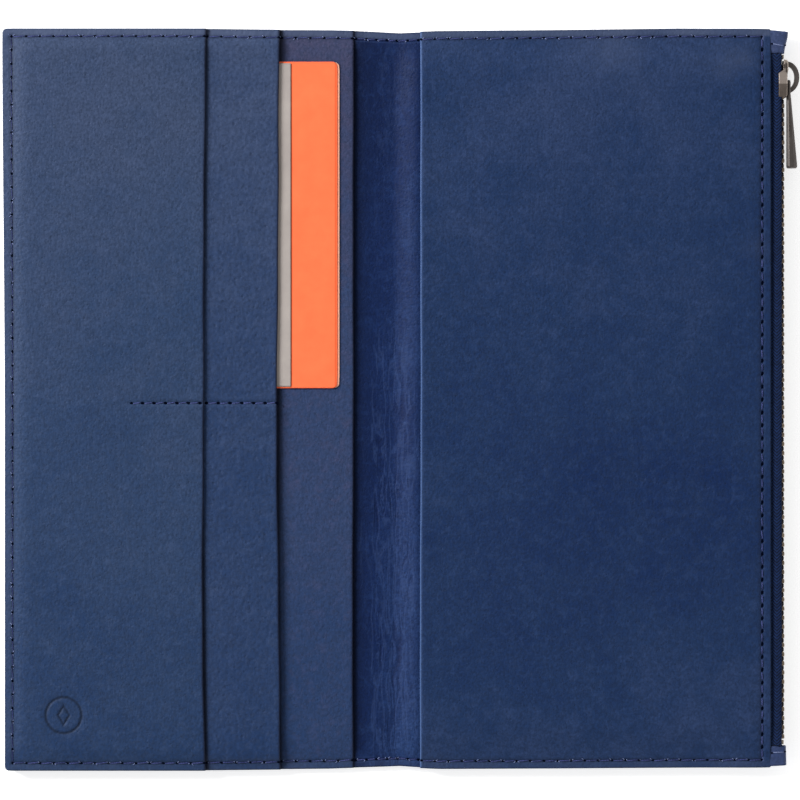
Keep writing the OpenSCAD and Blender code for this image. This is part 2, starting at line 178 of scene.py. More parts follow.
def mark(x, y):
    """Depth of the stamped mark: a ring round a lozenge on a sunk disc."""
    u, v = x - MARK_X, y - MARK_Y
    r = np.hypot(u, v)
    ring = bell(r - 4.7, 0.34)
    lozenge = bell(np.abs(u) + np.abs(v) * 0.62 - 1.5, 0.34)
    return np.maximum(ring, lozenge) * 0.24 + ease((6.2 - r) / 0.5) * 0.08


def raised_lip(distance):
    """The slightly raised lip at a pocket's mouth."""
    return 0.07 * bell(distance - 1.4, 1.1)


def pocket_top(x, y, base, rise, run, wave, mouth, lip=1.0, covered=-np.inf):
    """A card pocket; its seam shows only right of the mouth of the pocket that covers it."""
    inside = ease(edge_distance(x, y) / run)
    return (base + rise * inside + waves(x, y, wave) * inside
            - seam_left(x, y) * (x > covered - 0.5) + lip * raised_lip(mouth - x) * inside)


def z_rear(x, y):
    return pocket_top(x, y, 1.9, 0.74, 8, 0.018, REAR_X, lip=0.5, covered=MIDDLE_X)


def z_middle(x, y):
    top = pocket_top(x, y, 2.85, 1.22, 5, 0.05, MIDDLE_X, covered=FRONT_X)
    return top - divider_dip(x, y) * (x > FRONT_X - 0.3)


def z_front(x, y):
    return pocket_top(x, y, 3.85, 1.0, 6, 0.07, FRONT_X) - divider_dip(x, y) - mark(x, y)


def z_panel(x, y):
    near_zip = ease((x - 82) / 14)
    inside = ease((HALF_Y - np.abs(y)) / 12)
    z = 5.0 - (1.3 - 0.7 * near_zip) * (1 - inside) - 0.28 * (1 - ease((PANEL_RIGHT - x) / 5))
    return (z + waves(x, y, 0.12, 0.8, 0.7) * inside * (1 - 0.7 * near_zip)
            - seam_right(x, y) + raised_lip(x - PANEL_X) * inside)


NOISE_GRID = np.random.default_rng(11).random((64, 64))


def value_noise(u, v):
    """Smooth value noise."""
    iu, iv = np.floor(u).astype(int), np.floor(v).astype(int)
    fu, fv = ease(u - iu), ease(v - iv)

    def row(j):
        return NOISE_GRID[iu % 64, j % 64] * (1 - fu) + NOISE_GRID[(iu + 1) % 64, j % 64] * fu

    return row(iv) * (1 - fv) + row(iv + 1) * fv


def creases(x, y):
    """Wrinkles along y that wander and die out, gathered at the fold and stronger towards -y."""
    wx = (x + 1.3 * (value_noise(x / 6 + 3, y / 11) - 0.5)
          + 0.5 * (value_noise(x / 2.2, y / 3.4 + 7) - 0.5))
    long = bell(value_noise(wx / 1.5 + 9, y / 17 + 5) - 0.5, 0.055)
    short = bell(value_noise(wx / 1.1 + 31, y / 8.5 + 19) - 0.5, 0.06)
    slanted = bell(value_noise((wx + 0.22 * y) / 1.3 + 17, y / 5.0 + 40) - 0.5, 0.07)
    low = ease((34 - y) / 62)
    live = ease((value_noise(x / 2.6 + 50, y / 13 + 12) - 0.3) / 0.4)
    spread = 1.2 * ease((-70 - y) / 25)
    near = ease((x + 4.6 + spread) / 2.0) * ease((7.6 + spread - x) / 2.0)
    strongest = np.maximum.reduce([long * (0.08 + 0.92 * low), 0.7 * short * (0.12 + 0.88 * low),
                                   0.4 * slanted * (0.2 + 0.8 * low)])
    return strongest * (0.3 + 0.7 * live) * (0.12 + 0.88 * near)


def z_gutter(x, y):
    """Gutter leather, rising to the document panel's edge."""
    inside = ease((HALF_Y - np.abs(y)) / 11)
    wandering = (x + 0.5 * (value_noise(0 * x + 3, y / 22 + 8) - 0.5)
                 + 0.3 * (value_noise(0 * x + 9, y / 6 + 2) - 0.5))
    rise = 2.0 * ease((wandering - 1.3) / (PANEL_X - 1.4)) * (0.25 + 0.75 * inside)
    sag = 0.2 * bell(x + 1.5, 4.5) * inside
    return (1.62 + rise - sag - 0.15 * creases(x, y) * inside * ease((x + 8.8) / 1.0)
            - seam_dip(np.abs(y) - SEAM_Y, x, PITCH, 0.2) + waves(x, y, 0.04, 2.0))


def hem(distance):
    """1 in the turned hem along an edge, 0 inside it."""
    return 1 - ease((distance - 2.4) / 1.4)


# ---------------------------------------------------------------- mesh helpers
def mesh_object(name, verts, faces, material, attributes=None, smooth=True):
    """An object from points in mm and a list of face arrays, with its rest places stored."""
    mesh = bpy.data.meshes.new(name)
    points = np.asarray(verts, float) * MM
    mesh.vertices.add(len(points))
    mesh.vertices.foreach_set("co", points.ravel())
    arrays = [np.asarray(f, np.int64) for f in faces if len(f)]
    sizes = np.concatenate([np.full(len(f), f.shape[1], np.int64) for f in arrays])
    loops = np.concatenate([f.ravel() for f in arrays])
    mesh.loops.add(len(loops))
    mesh.loops.foreach_set("vertex_index", loops.astype(np.int32))
    mesh.polygons.add(len(sizes))
    starts = np.concatenate([[0], np.cumsum(sizes)[:-1]])
    mesh.polygons.foreach_set("loop_start", starts.astype(np.int32))
    mesh.polygons.foreach_set("use_smooth", np.full(len(sizes), smooth))
    mesh.update(calc_edges=True)
    mesh.validate()
    rest = mesh.attributes.new("rest", "FLOAT_VECTOR", "POINT")
    rest.data.foreach_set("vector", points.astype(np.float32).ravel())
    for key, values in (attributes or {}).items():
        layer = mesh.attributes.new(key, "FLOAT", "POINT")
        layer.data.foreach_set("value", np.asarray(values, np.float32).ravel())
    return link_object(name, mesh, material)


def link_object(name, mesh, material):
    obj = bpy.data.objects.new(name, mesh)
    bpy.context.scene.collection.objects.link(obj)
    mesh.materials.append(material)
    return obj


def move_points(obj, move):
    """Lets move change the array of the mesh's points, in metres."""
    points = np.zeros(len(obj.data.vertices) * 3, np.float32)
    obj.data.vertices.foreach_get("co", points)
    points = points.reshape(-1, 3)
    move(points)
    obj.data.vertices.foreach_set("co", points.ravel())


def face_outwards(mesh):
    bm = bmesh.new()
    bm.from_mesh(mesh)
    bmesh.ops.recalc_face_normals(bm, faces=bm.faces)
    bm.to_mesh(mesh)
    bm.free()


def add_bevel(obj, width, segments, degrees):
    bevel = obj.modifiers.new("bevel", "BEVEL")
    bevel.width = width * MM
    bevel.segments = segments
    bevel.limit_method = "ANGLE"
    bevel.angle_limit = math.radians(degrees)


def soften(obj, width, segments=3):
    """Bevel, weighted normals and smooth faces."""
    add_bevel(obj, width, segments, 28)
    obj.modifiers.new("normals", "WEIGHTED_NORMAL").keep_sharp = True
    for face in obj.data.polygons:
        face.use_smooth = True


def attach(obj, body, *nodes):
    """Ties obj to a body in place of CAD nodes; for left_fold and right_fold it only bakes obj's
    place.
    """
    if body == "left_fold":
        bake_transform(obj)
    elif body == "right_fold":
        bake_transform(obj)
    else:
        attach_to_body(obj, body)
    if nodes:
        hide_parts(*nodes)


def grid_lines(low, high, step, fine=()):
    """Grid lines, closer in the fine ranges (from, to, step) and at both ends."""
    lines = [low, high]
    zones = [*fine, (low, low + 0.9, 0.15), (high - 0.9, high, 0.15)]
    at = low
    while at < high - 1e-6:
        stride = step
        for start, end, fine_step in zones:
            if start - 1e-9 <= at < end - 1e-9:
                stride = min(stride, fine_step)
            elif at < start < at + stride:
                stride = min(stride, max(start - at, 0.02))
        at = min(at + stride, high)
        lines.append(at)
    lines = np.unique(np.round(lines, 4))
    keep = np.concatenate([[True], np.diff(lines) > 0.03])
    keep[-1] = True
    return lines[keep]


def lip_bow(y, amount):
    """How far a free lip is drawn back from its straight line."""
    return amount * (1 - (y / HALF_Y) ** 2) * (1 - 0.25 * np.sin(y * 0.02))


def sheet(name, xs, ys, top, bottom, material, side=0, corner=1.2, rounding=0.3, free="",
          flat="", wobble=0.0, bow=0.0, outlined=True, shadows=(), marks=None, seams=True,
          spots=()):
    """A closed sheet between the surfaces top and bottom.

    side: the x end with rounded corners (-1, 1 or 0 for none). free, flat: "l" or "r", the end
    that is a free lip or that joins another piece. shadows: (lip x, width, bow, strength) of
    layers lying above. spots: worn spots (x, y, radius, strength). marks: dark marks over x, y.
    """
    X0, Y0 = np.meshgrid(xs, ys, indexing="ij")
    X, Y = X0, Y0
    x0, x1 = xs[0], xs[-1]
    edges = {"l": X - x0, "r": x1 - X, "b": Y - ys[0], "t": ys[-1] - Y}
    if wobble:
        lip_x, other = (x1, x0) if free == "r" else (x0, x1)
        X = X + wobble * ((X - other) / (lip_x - other)) ** 2 * (
            np.sin(Y * 0.021 + 1) + 0.5 * np.sin(Y * 0.063 + 2) + 0.25 * np.sin(Y * 0.19))
        X = X - lip_bow(Y0, bow) * ((X0 - other) / (lip_x - other)) ** 2
    if side:
        for sy, edge in ((-1, "b"), (1, "t")):
            ax = np.clip(corner - edges["l" if side < 0 else "r"], 0, None)
            ay = np.clip(corner - edges[edge], 0, None)
            # squeeze the corner's square into its quarter disc
            m = (ax > 0) & (ay > 0)
            q = np.maximum(ax, ay) / np.maximum(np.hypot(ax, ay), 1e-9)
            X = np.where(m, X + side * (ax * q - ax), X)
            Y = np.where(m, Y + sy * (ay * q - ay), Y)
    T, B = top(X, Y), bottom(X, Y)
    to_edge = np.minimum.reduce([d for k, d in edges.items() if k not in flat])
    k = np.clip(1 - to_edge / rounding, 0, 1)
    cut = rounding * (1 - np.sqrt(np.clip(1 - k * k, 0, 1)))
    cut = np.minimum(cut, (T - B) * 0.42)
    if outlined:
        X, Y = warp(X, Y)
    verts = np.concatenate([np.stack([X, Y, Z], -1).reshape(-1, 3) for Z in (T - cut, B + cut)])
    n = X.size
    idx = np.arange(n).reshape(X.shape)
    upper = np.stack([idx[:-1, :-1], idx[1:, :-1], idx[1:, 1:], idx[:-1, 1:]], -1).reshape(-1, 4)
    walls = [np.stack([e[1:], e[:-1], e[:-1] + n, e[1:] + n], -1)
             for e in (idx[:, 0], idx[-1, :], idx[::-1, -1], idx[0, ::-1])]

    none = np.zeros_like(X0)
    shade = none
    for x, width, lip_bend, strength in shadows:
        past = X0 - x + lip_bow(Y0, lip_bend)
        shade = np.maximum(shade, strength * np.where(past > -0.3, 1 - ease(past / width), 0))
    near = {k: 1 - ease((d - 1.4) / 0.9) for k, d in edges.items()}
    worn = np.maximum.reduce([near["t"], 0.25 * near["l"] * (side < 0), 0.25 * near["b"]])
    for x, y, radius, strength in spots:
        worn = np.maximum(worn, strength * bell(np.hypot(X0 - x, (Y0 - y) * 1.2), radius))
    dark = seam_dark(X0, Y0) if seams else none
    if marks:
        dark = np.maximum(dark, marks(X0, Y0))
    values = {
        "lip": bell(edges[free], 0.42) if free else none,
        "rim": np.maximum.reduce([bell(d, 0.3) * (k not in free + flat)
                                  for k, d in edges.items()]),
        "occ": shade, "worn": worn, "mark": dark,
    }
    values = {k: np.concatenate([v.ravel(), v.ravel()]) for k, v in values.items()}
    faces = np.concatenate([upper, upper[:, ::-1] + n] + walls)
    obj = mesh_object(name, verts, [faces], material, values)
    if flat:
        # where two pieces of one leather meet, the end wall takes no part in the shading
        mesh = obj.data
        pairs = np.zeros(len(mesh.edges) * 2, np.int32)
        mesh.edges.foreach_get("vertices", pairs)
        pairs = pairs.reshape(-1, 2)
        at_end = np.concatenate([(edges[flat] < 1e-6).ravel()] * 2)
        sharp = (mesh.attributes.get("sharp_edge")
                 or mesh.attributes.new("sharp_edge", "BOOLEAN", "EDGE"))
        sharp.data.foreach_set("value", at_end[pairs[:, 0]] & at_end[pairs[:, 1]])
    return obj


class Solids:
    """Collects many small solids into one mesh; a triangle repeats its last corner."""

    def __init__(self):
        self.verts, self.faces, self.count = [], [], 0

    def add(self, verts, faces):
        self.verts.append(np.asarray(verts, float))
        self.faces.append(np.asarray(faces) + self.count)
        self.count += len(verts)

    def tube(self, path, radii, sides):
        path = np.asarray(path, float)
        m = len(path)
        heading = np.gradient(path, axis=0)
        heading /= np.linalg.norm(heading, axis=1)[:, None]
        angles = np.linspace(0, 2 * np.pi, sides, endpoint=False)
        rings = []
        for p, t, r in zip(path, heading, np.broadcast_to(radii, (m,))):
            a = np.cross(t, [0, 0, 1.0])
            if np.linalg.norm(a) < 1e-3:
                a = np.cross(t, [0, 1.0, 0])
            a /= np.linalg.norm(a)
            b = np.cross(a, t)
            rings.append(p + r * (np.cos(angles)[:, None] * a + np.sin(angles)[:, None] * b))
        faces = []
        for i in range(0, (m - 1) * sides, sides):
            for k in range(sides):
                k2 = (k + 1) % sides
                faces.append([i + k, i + k2, i + sides + k2, i + sides + k])
        start, end, last = m * sides, m * sides + 1, (m - 1) * sides
        for k in range(sides):
            k2 = (k + 1) % sides
            faces.append([start, k2, k, k])
            faces.append([end, last + k, last + k2, last + k2])
        self.add(np.concatenate(rings + [path[:1], path[-1:]]), faces)

    def ellipsoid(self, centre, radii, angle, around=10, rows=6):
        verts = [[0, 0, -1.0]]
        for j in range(1, rows):
            p = -np.pi / 2 + np.pi * j / rows
            for a in np.linspace(0, 2 * np.pi, around, endpoint=False):
                verts.append([math.cos(p) * math.cos(a), math.cos(p) * math.sin(a), math.sin(p)])
        verts.append([0, 0, 1.0])
        c, s = math.cos(angle), math.sin(angle)
        turn = np.array([[c, s, 0], [-s, c, 0], [0, 0, 1]])
        faces = []
        top = 1 + (rows - 1) * around
        for k in range(around):
            k2 = (k + 1) % around
            faces.append([0, 1 + k2, 1 + k, 1 + k])
            for j in range(rows - 2):
                a, b = 1 + j * around + k, 1 + j * around + k2
                faces.append([a, b, b + around, a + around])
            faces.append([top, top - around + k, top - around + k2, top - around + k2])
        self.add(np.array(verts) * np.array(radii) @ turn + np.array(centre), faces)

    def make(self, name, material, slot):
        triangles, quads = [], []
        for f in self.faces:
            three = f[:, 2] == f[:, 3]
            triangles.append(f[three][:, :3])
            quads.append(f[~three])
        faces = [np.concatenate(triangles), np.concatenate(quads)]
        return mesh_object(name, np.concatenate(self.verts), faces, material)


# ---------------------------------------------------------------- materials
def linear(colour):
    return [((v / 255 + 0.055) / 1.055) ** 2.4 if v > 10 else v / 255 / 12.92
            for v in colour] + [1]


def scaled(colour, k):
    return [v * k for v in colour]


class Shader:
    """Builds a node material; textures follow the rest places or the object's space."""

    def __init__(self, name, space="rest"):
        self.material = bpy.data.materials.new(name)
        self.material.use_nodes = True
        self.tree = self.material.node_tree
        self.tree.nodes.clear()
        output = self.node("ShaderNodeOutputMaterial")
        self.surface = self.node("ShaderNodeBsdfPrincipled")
        self.tree.links.new(self.surface.outputs[0], output.inputs[0])
        if space == "rest":
            self.coords = self.attribute("rest", "Vector")
        elif space == "object":
            self.coords = self.node("ShaderNodeTexCoord").outputs["Object"]

    def node(self, kind, **settings):
        node = self.tree.nodes.new(kind)
        for key, value in settings.items():
            setattr(node, key, value)
        return node

    def put(self, socket, value):
        if isinstance(value, bpy.types.NodeSocket):
            self.tree.links.new(value, socket)
        else:
            socket.default_value = value

    def attribute(self, name, output="Fac"):
        return self.node("ShaderNodeAttribute", attribute_name=name).outputs[output]

    def math(self, operation, a, b=0.0):
        node = self.node("ShaderNodeMath", operation=operation)
        for socket, value in zip(node.inputs, (a, b, 0.0)):
            self.put(socket, value)
        return node.outputs[0]

    def plus(self, a, b):
        return self.math("ADD", a, b)

    def times(self, a, b):
        return self.math("MULTIPLY", a, b)

    def mapped(self, scale=(1, 1, 1), rot=(0, 0, 0), loc=(0, 0, 0)):
        node = self.node("ShaderNodeMapping")
        self.put(node.inputs["Vector"], self.coords)
        node.inputs["Scale"].default_value = scale
        node.inputs["Rotation"].default_value = rot
        node.inputs["Location"].default_value = loc
        return node.outputs[0]

    def noise(self, scale, detail=4, rough=0.55, vec=None, distort=0.0):
        node = self.node("ShaderNodeTexNoise")
        self.put(node.inputs["Vector"], vec or self.coords)
        node.inputs["Scale"].default_value = scale
        node.inputs["Detail"].default_value = detail
        node.inputs["Roughness"].default_value = rough
        node.inputs["Distortion"].default_value = distort
        return node.outputs["Fac"]

    def voronoi(self, scale, vec, feature):
        node = self.node("ShaderNodeTexVoronoi", feature=feature)
        self.put(node.inputs["Vector"], vec)
        node.inputs["Scale"].default_value = scale
        return node.outputs["Distance"]

    def bands(self, direction, scale, distort, vec):
        node = self.node("ShaderNodeTexWave", wave_type="BANDS", bands_direction=direction)
        self.put(node.inputs["Vector"], vec)
        node.inputs["Scale"].default_value = scale
        node.inputs["Distortion"].default_value = distort
        return node.outputs["Fac"]

    def ramp(self, factor, colours):
        """Colours evenly spaced from 0 to 1."""
        node = self.node("ShaderNodeValToRGB")
        self.put(node.inputs[0], factor)
        stops = node.color_ramp.elements
        while len(stops) < len(colours):
            stops.new(0.5)
        for i, (stop, colour) in enumerate(zip(stops, colours)):
            stop.position = i / (len(colours) - 1)
            stop.color = linear(colour)
        return node.outputs[0]

    def remap(self, value, low, high, to_low=0.0, to_high=1.0):
        node = self.node("ShaderNodeMapRange")
        for socket, v in zip(node.inputs[:5], (value, low, high, to_low, to_high)):
            self.put(socket, v)
        return node.outputs[0]

    def mix(self, factor, under, over):
        """Mixes sockets or sRGB colours."""
        node = self.node("ShaderNodeMix", data_type="RGBA")
        self.put(node.inputs[0], factor)
        for i, v in ((6, under), (7, over)):
            self.put(node.inputs[i], v if isinstance(v, bpy.types.NodeSocket) else linear(v))
        return node.outputs[2]

    def bump(self, height, distance, strength, normal=None):
        node = self.node("ShaderNodeBump")
        node.inputs["Strength"].default_value = strength
        node.inputs["Distance"].default_value = distance
        self.put(node.inputs["Height"], height)
        if normal is not None:
            self.put(node.inputs["Normal"], normal)
        return node.outputs[0]

    def axes(self, vec=None):
        node = self.node("ShaderNodeSeparateXYZ")
        self.put(node.inputs[0], vec or self.coords)
        return node.outputs

    def distance(self, axis, place):
        """Distance in metres from a place in mm on one axis."""
        return self.math("ABSOLUTE", self.math("SUBTRACT", self.axes()[axis], place * MM))

    def finish(self, **inputs):
        for key, value in inputs.items():
            self.put(self.surface.inputs[key.replace("_", " ")], value)
        return self.material


def leather(name, dark, mid, light, seed, grain=1.0, vary=1.0, gradient=None, scuff=0.0,
            lip=(8, 14, 38), lip_tint=0.85, fibre=0.0, specular=0.16, crease=None):
    """gradient: tone per metre of x and of y, offset, tone per square metre of y; painted light,
    lighter where the lamp's sheen falls and darker in its shade.
    crease: colours of the painted shade in the valleys and of the painted highlight on the pale
    lines beside them."""
    g = Shader(name)
    broad = g.noise(14, detail=3, rough=0.5, vec=g.mapped(loc=(seed, seed * 0.7, 0)), distort=0.6)
    patch = g.noise(75, detail=5, rough=0.6, vec=g.mapped(loc=(0, seed, seed)), distort=0.4)
    mottle = g.noise(420, rough=0.65, vec=g.mapped(loc=(seed, 0, seed)), distort=0.8)
    fine = g.noise(1350, rough=0.7)
    tone = g.plus(g.times(broad, 0.5), g.plus(g.times(patch, 0.3), g.times(mottle, 0.2)))
    # painted light: the tone slopes across the leather, lighter where the lamp's sheen falls and
    # darker in its shade
    if gradient:
        per_x, per_y, offset, per_y2 = gradient
        x, y = g.axes()[:2]
        slope = g.plus(g.times(x, per_x), g.plus(g.times(y, per_y), offset))
        tone = g.plus(g.plus(tone, slope), g.times(g.times(y, y), per_y2))
    tone = g.remap(tone, 0.5 - 0.24 / vary, 0.5 + 0.24 / vary)
    col = g.ramp(tone, [dark, mid, light])
    col = g.mix(g.remap(fine, 0.38, 0.66, to_high=0.6), col, scaled(mid, 0.66))
    col = g.mix(g.remap(mottle, 0.5, 0.75, to_high=0.16), col,
                [min(v * 1.3, 255) for v in light])
    cells = g.voronoi(1500 / grain, g.mapped(scale=(1, 0.85, 1)), "SMOOTH_F1")
    pits = g.voronoi(900 / grain, g.mapped(rot=(0, 0, 0.5)), "F1")
    fibres = g.noise(420, detail=5, rough=0.6, distort=0.3,
                     vec=g.mapped(scale=(3.2, 0.35, 1), rot=(0, 0, 0.06)))
    col = g.mix(g.remap(pits, 0.0, 0.25, 0.3, 0.0), col, scaled(dark, 0.45))
    if fibre:
        col = g.mix(g.remap(fibres, 0.45, 0.75, to_high=fibre), col, light)
    if scuff:
        streaks = g.noise(30, detail=6, rough=0.75, distort=1.2,
                          vec=g.mapped(scale=(0.25, 2.6, 1), rot=(0, 0, -0.12)))
        places = g.noise(9, detail=2, rough=0.5, vec=g.mapped(loc=(seed, 0, 1)))
        scuffs = g.times(g.remap(streaks, 0.6, 0.72), g.remap(places, 0.5, 0.72))
        col = g.mix(g.times(scuffs, scuff), col, scaled(light, 1.5))
    valley = g.attribute("mark")
    if crease:
        # painted shade in the crease valleys, painted highlight on the lines beside them
        col = g.mix(g.remap(valley, 0.3, 0.9, to_high=0.5), col, crease[0])
        beside = g.times(g.remap(valley, 0.03, 0.14), g.remap(valley, 0.16, 0.34, 0.2, 0.0))
        col = g.mix(beside, col, crease[1])
    else:
        # painted shade in the seam valleys; the stamped mark is darkened too
        col = g.mix(g.times(valley, 0.7), col, scaled(dark, 0.4))
    worn = g.times(g.attribute("worn"), g.remap(patch, 0.3, 0.65, 0.45, 1.0))
    col = g.mix(worn, col, (64, 75, 102))
    col = g.mix(g.times(g.attribute("occ"), 0.86), col, (3, 7, 24))
    # painted at the free lip: dark edge paint and painted shade on the pockets; on the panel, a
    # painted highlight on its burnished edge
    col = g.mix(g.times(g.attribute("lip"), lip_tint), col, lip)
    col = g.mix(g.times(g.attribute("rim"), 0.6), col, scaled(mid, 0.6))
    height = g.plus(g.times(cells, 0.55), g.times(fine, 0.35))
    height = g.plus(height, g.times(g.remap(pits, 0.0, 0.3), 0.35))
    height = g.plus(height, g.times(fibres, 0.25))
    normal = g.bump(height, distance=0.0002 * grain, strength=0.75)
    normal = g.bump(g.noise(110, rough=0.6), distance=0.0007, strength=0.09, normal=normal)
    rough = g.plus(g.remap(patch, 0.3, 0.7, 0.52, 0.58), g.times(fine, 0.08))
    return g.finish(Base_Color=col, Roughness=rough, Normal=normal, Specular_IOR_Level=specular,
                    Sheen_Weight=0.015, Sheen_Roughness=0.5)


# dark, middle and light tones
FRONT_LEATHER = leather("leather_pocket_front", (24, 48, 85), (38, 58, 91), (52, 66, 95),
                        seed=0.2, gradient=(-0.2, 1.6, 0.0, 0.0))
MIDDLE_LEATHER = leather("leather_pocket_middle", (22, 47, 86), (38, 57, 92), (54, 68, 98),
                         seed=1.7, grain=1.45, gradient=(0, 1.8, 0.0, 0.0))
REAR_LEATHER = leather("leather_pocket_rear", (30, 53, 92), (42, 59, 95), (60, 58, 84),
                       seed=3.1, gradient=(0, 1.5, 0.0, 0.0))
# the panel's pale lip colour is a painted highlight on its burnished edge
PANEL_LEATHER = leather("leather_panel", (8, 34, 77), (23, 46, 84), (43, 60, 96), seed=4.4,
                        grain=0.95, vary=1.1, gradient=(-0.35, 0.15, -0.03, 12.0), scuff=0.3,
                        lip=(78, 104, 152), lip_tint=0.6)
# the gutter's darker tones are painted shade in the spine's trough, and its x gradient paints
# light on the rise towards the panel
GUTTER_LEATHER = leather("leather_gutter", (6, 23, 60), (12, 32, 74), (32, 54, 96), seed=5.9,
                         grain=0.9, vary=0.8, gradient=(17, -2.1, -0.04, 0.0), fibre=0.1,
                         crease=((5, 18, 52), (58, 78, 122)), specular=0.1)
COVER_LEATHER = leather("leather_cover", (16, 40, 82), (28, 50, 90), (46, 62, 100), seed=7.3,
                        vary=1.1, scuff=0.2)
TAB_LEATHER = leather("leather_tab", (38, 56, 98), (52, 66, 104), (70, 80, 114), seed=8.8,
                      grain=0.8)


def thread(name, dark, light):
    g = Shader(name)
    twist = g.bands("DIAGONAL", 900, distort=0.6, vec=g.coords)
    col = g.mix(g.remap(g.noise(500, detail=3), 0.35, 0.65), dark, light)
    col = g.mix(g.times(twist, 0.35), col, scaled(dark, 0.6))
    return g.finish(Base_Color=col, Roughness=0.6, Sheen_Weight=0.06, Specular_IOR_Level=0.25,
                    Normal=g.bump(twist, distance=0.00008, strength=0.8))


LIGHT_THREAD = thread("thread_light", (84, 98, 142), (124, 136, 176))
DEEP_THREAD = thread("thread_deep", (16, 28, 76), (38, 48, 102))
SEAM_THREAD = thread("thread_seam", (34, 46, 98), (60, 70, 126))
MID_THREAD = thread("thread_mid", (34, 44, 96), (60, 68, 126))
DIVIDER_THREAD = thread("thread_divider", (48, 58, 112), (78, 86, 144))


def needle_hole_shade():
    g = Shader("needle_hole_shade")
    # painted shade: near-black solids on the surface stand in for the dark inside of the needle
    # holes
    col = g.mix(g.noise(600, detail=3), (2, 4, 14), (5, 9, 26))
    normal = g.bump(g.noise(2000, detail=2), distance=0.00005, strength=0.4)
    return g.finish(Base_Color=col, Roughness=1.0, Normal=normal, Specular_IOR_Level=0.0)


HOLE_SHADE = needle_hole_shade()


def cloth(name, dark, light, period=0.0006):
    """Herringbone: the twill turns round every 1.1 mm across x."""
    g = Shader(name, "object")
    twills = [g.bands("X", 0.314 / period, distort=0.4,
                      vec=g.mapped(rot=(0, 0, math.radians(angle)))) for angle in (45, -45)]
    stripes = g.math("FRACT", g.times(g.axes()[0], 1 / 0.0022))
    side = g.math("GREATER_THAN", stripes, 0.5)
    height = g.plus(g.times(twills[0], side),
                    g.times(twills[1], g.math("SUBTRACT", 1.0, side)))
    col = g.mix(height, dark, light)
    col = g.mix(g.remap(g.noise(700), 0.4, 0.7, to_high=0.4), col, scaled(dark, 0.55))
    return g.finish(Base_Color=col, Roughness=0.85, Sheen_Weight=0.03, Specular_IOR_Level=0.12,
                    Normal=g.bump(height, distance=0.00012, strength=0.8))


TAPE = cloth("tape_weave", (2, 10, 30), (20, 40, 80))
LINING = cloth("lining_weave", (16, 22, 44), (32, 42, 72), period=0.0005)


def metal(name, dark, light, rough, space="object", brushed=True, facet=None, middle=None,
          shade_side=False):
    """facet: (y, colour beyond it), painted highlight on a facet that faces the lamp.
    middle: (z, colour of a band there), painted shade where parts meet.
    shade_side: darken the faces that look towards -x."""
    g = Shader(name, space)
    patch = g.noise(120, rough=0.6)
    grain = g.noise(900, rough=0.6, vec=g.mapped(scale=(1, 0.08, 1)) if brushed else None)
    col = g.mix(g.remap(patch, 0.3, 0.7), dark, light)
    col = g.mix(g.remap(grain, 0.4, 0.75, to_high=0.3), col, scaled(dark, 0.55))
    if facet:
        y, colour = facet
        # painted highlight on the facet beyond y
        col = g.mix(g.remap(g.axes()[1], (y - 0.05) * MM, (y + 0.05) * MM), col, colour)
    if middle:
        z, colour = middle
        # painted shade in the band where the two rows of teeth meet
        col = g.mix(g.remap(g.distance(2, z), 0.0005, 0.0010, 0.92, 0.0), col, colour)
    if shade_side:
        facing = g.axes(g.node("ShaderNodeNewGeometry").outputs["True Normal"])[0]
        col = g.mix(g.remap(facing, -0.9, -0.5, 0.85, 0.0), col, scaled(dark, 0.35))
    roughness = g.plus(g.remap(patch, 0.3, 0.7, rough - 0.06, rough + 0.08), g.times(grain, 0.1))
    return g.finish(Base_Color=col, Metallic=1.0, Roughness=roughness,
                    Normal=g.bump(grain, distance=0.00003, strength=0.5))


BRIDGE_METAL = metal("gunmetal", (108, 102, 99), (128, 121, 117), rough=0.46)
PULL_METAL = metal("gunmetal_dark", (92, 87, 85), (108, 103, 100), rough=0.5)
SHELL_METAL = metal("gunmetal_nose", (80, 73, 70), (98, 90, 85), rough=0.44, shade_side=True)
# the facet colour is a painted highlight on the shoulder facets beyond the ridge, which face the
# lamp
SHOULDER_METAL = metal("gunmetal_facets", (108, 98, 91), (122, 112, 105), rough=0.48,
                       space="rest", brushed=False, shade_side=True,
                       facet=(slider_low[1] + 3.4, (166, 155, 147)))
STOP_METAL = metal("stop_metal", (186, 174, 158), (214, 202, 186), rough=0.45)
# its dark middle band is painted shade where the rows of teeth meet
TEETH_METAL = metal("zip_metal", (104, 93, 81), (148, 133, 116), rough=0.46, space="rest",
                    brushed=False, middle=(CHAIN_Z, (24, 26, 38)))


def paper(name, dark, light, rough=0.45, shade=None, fold=None):
    """shade: (x where it starts, x where it is full, colour). fold: x of a darker line, painted
    shade along the cover's fold.
    """
    g = Shader(name)
    patch = g.noise(160, detail=5, rough=0.6)
    col = g.mix(g.remap(patch, 0.3, 0.7), dark, light)
    fibres = g.noise(2600, rough=0.7)
    col = g.mix(g.remap(fibres, 0.4, 0.8, to_high=0.08), col, scaled(dark, 0.8))
    if shade:
        start, full, colour = shade
        col = g.mix(g.remap(g.axes()[0], start * MM, full * MM), col, colour)
    if fold:
        # painted shade along the fold
        line = g.remap(g.distance(0, fold), 0.00012, 0.00034, 0.75, 0.0)
        col = g.mix(line, col, (206, 84, 44))
    col = g.mix(g.times(g.attribute("rim"), 0.4), col, scaled(dark, 0.72))
    return g.finish(Base_Color=col, Roughness=g.remap(patch, 0.3, 0.7, rough + 0.12, rough + 0.2),
                    Normal=g.bump(fibres, distance=0.00004, strength=0.35),
                    Specular_IOR_Level=0.16)


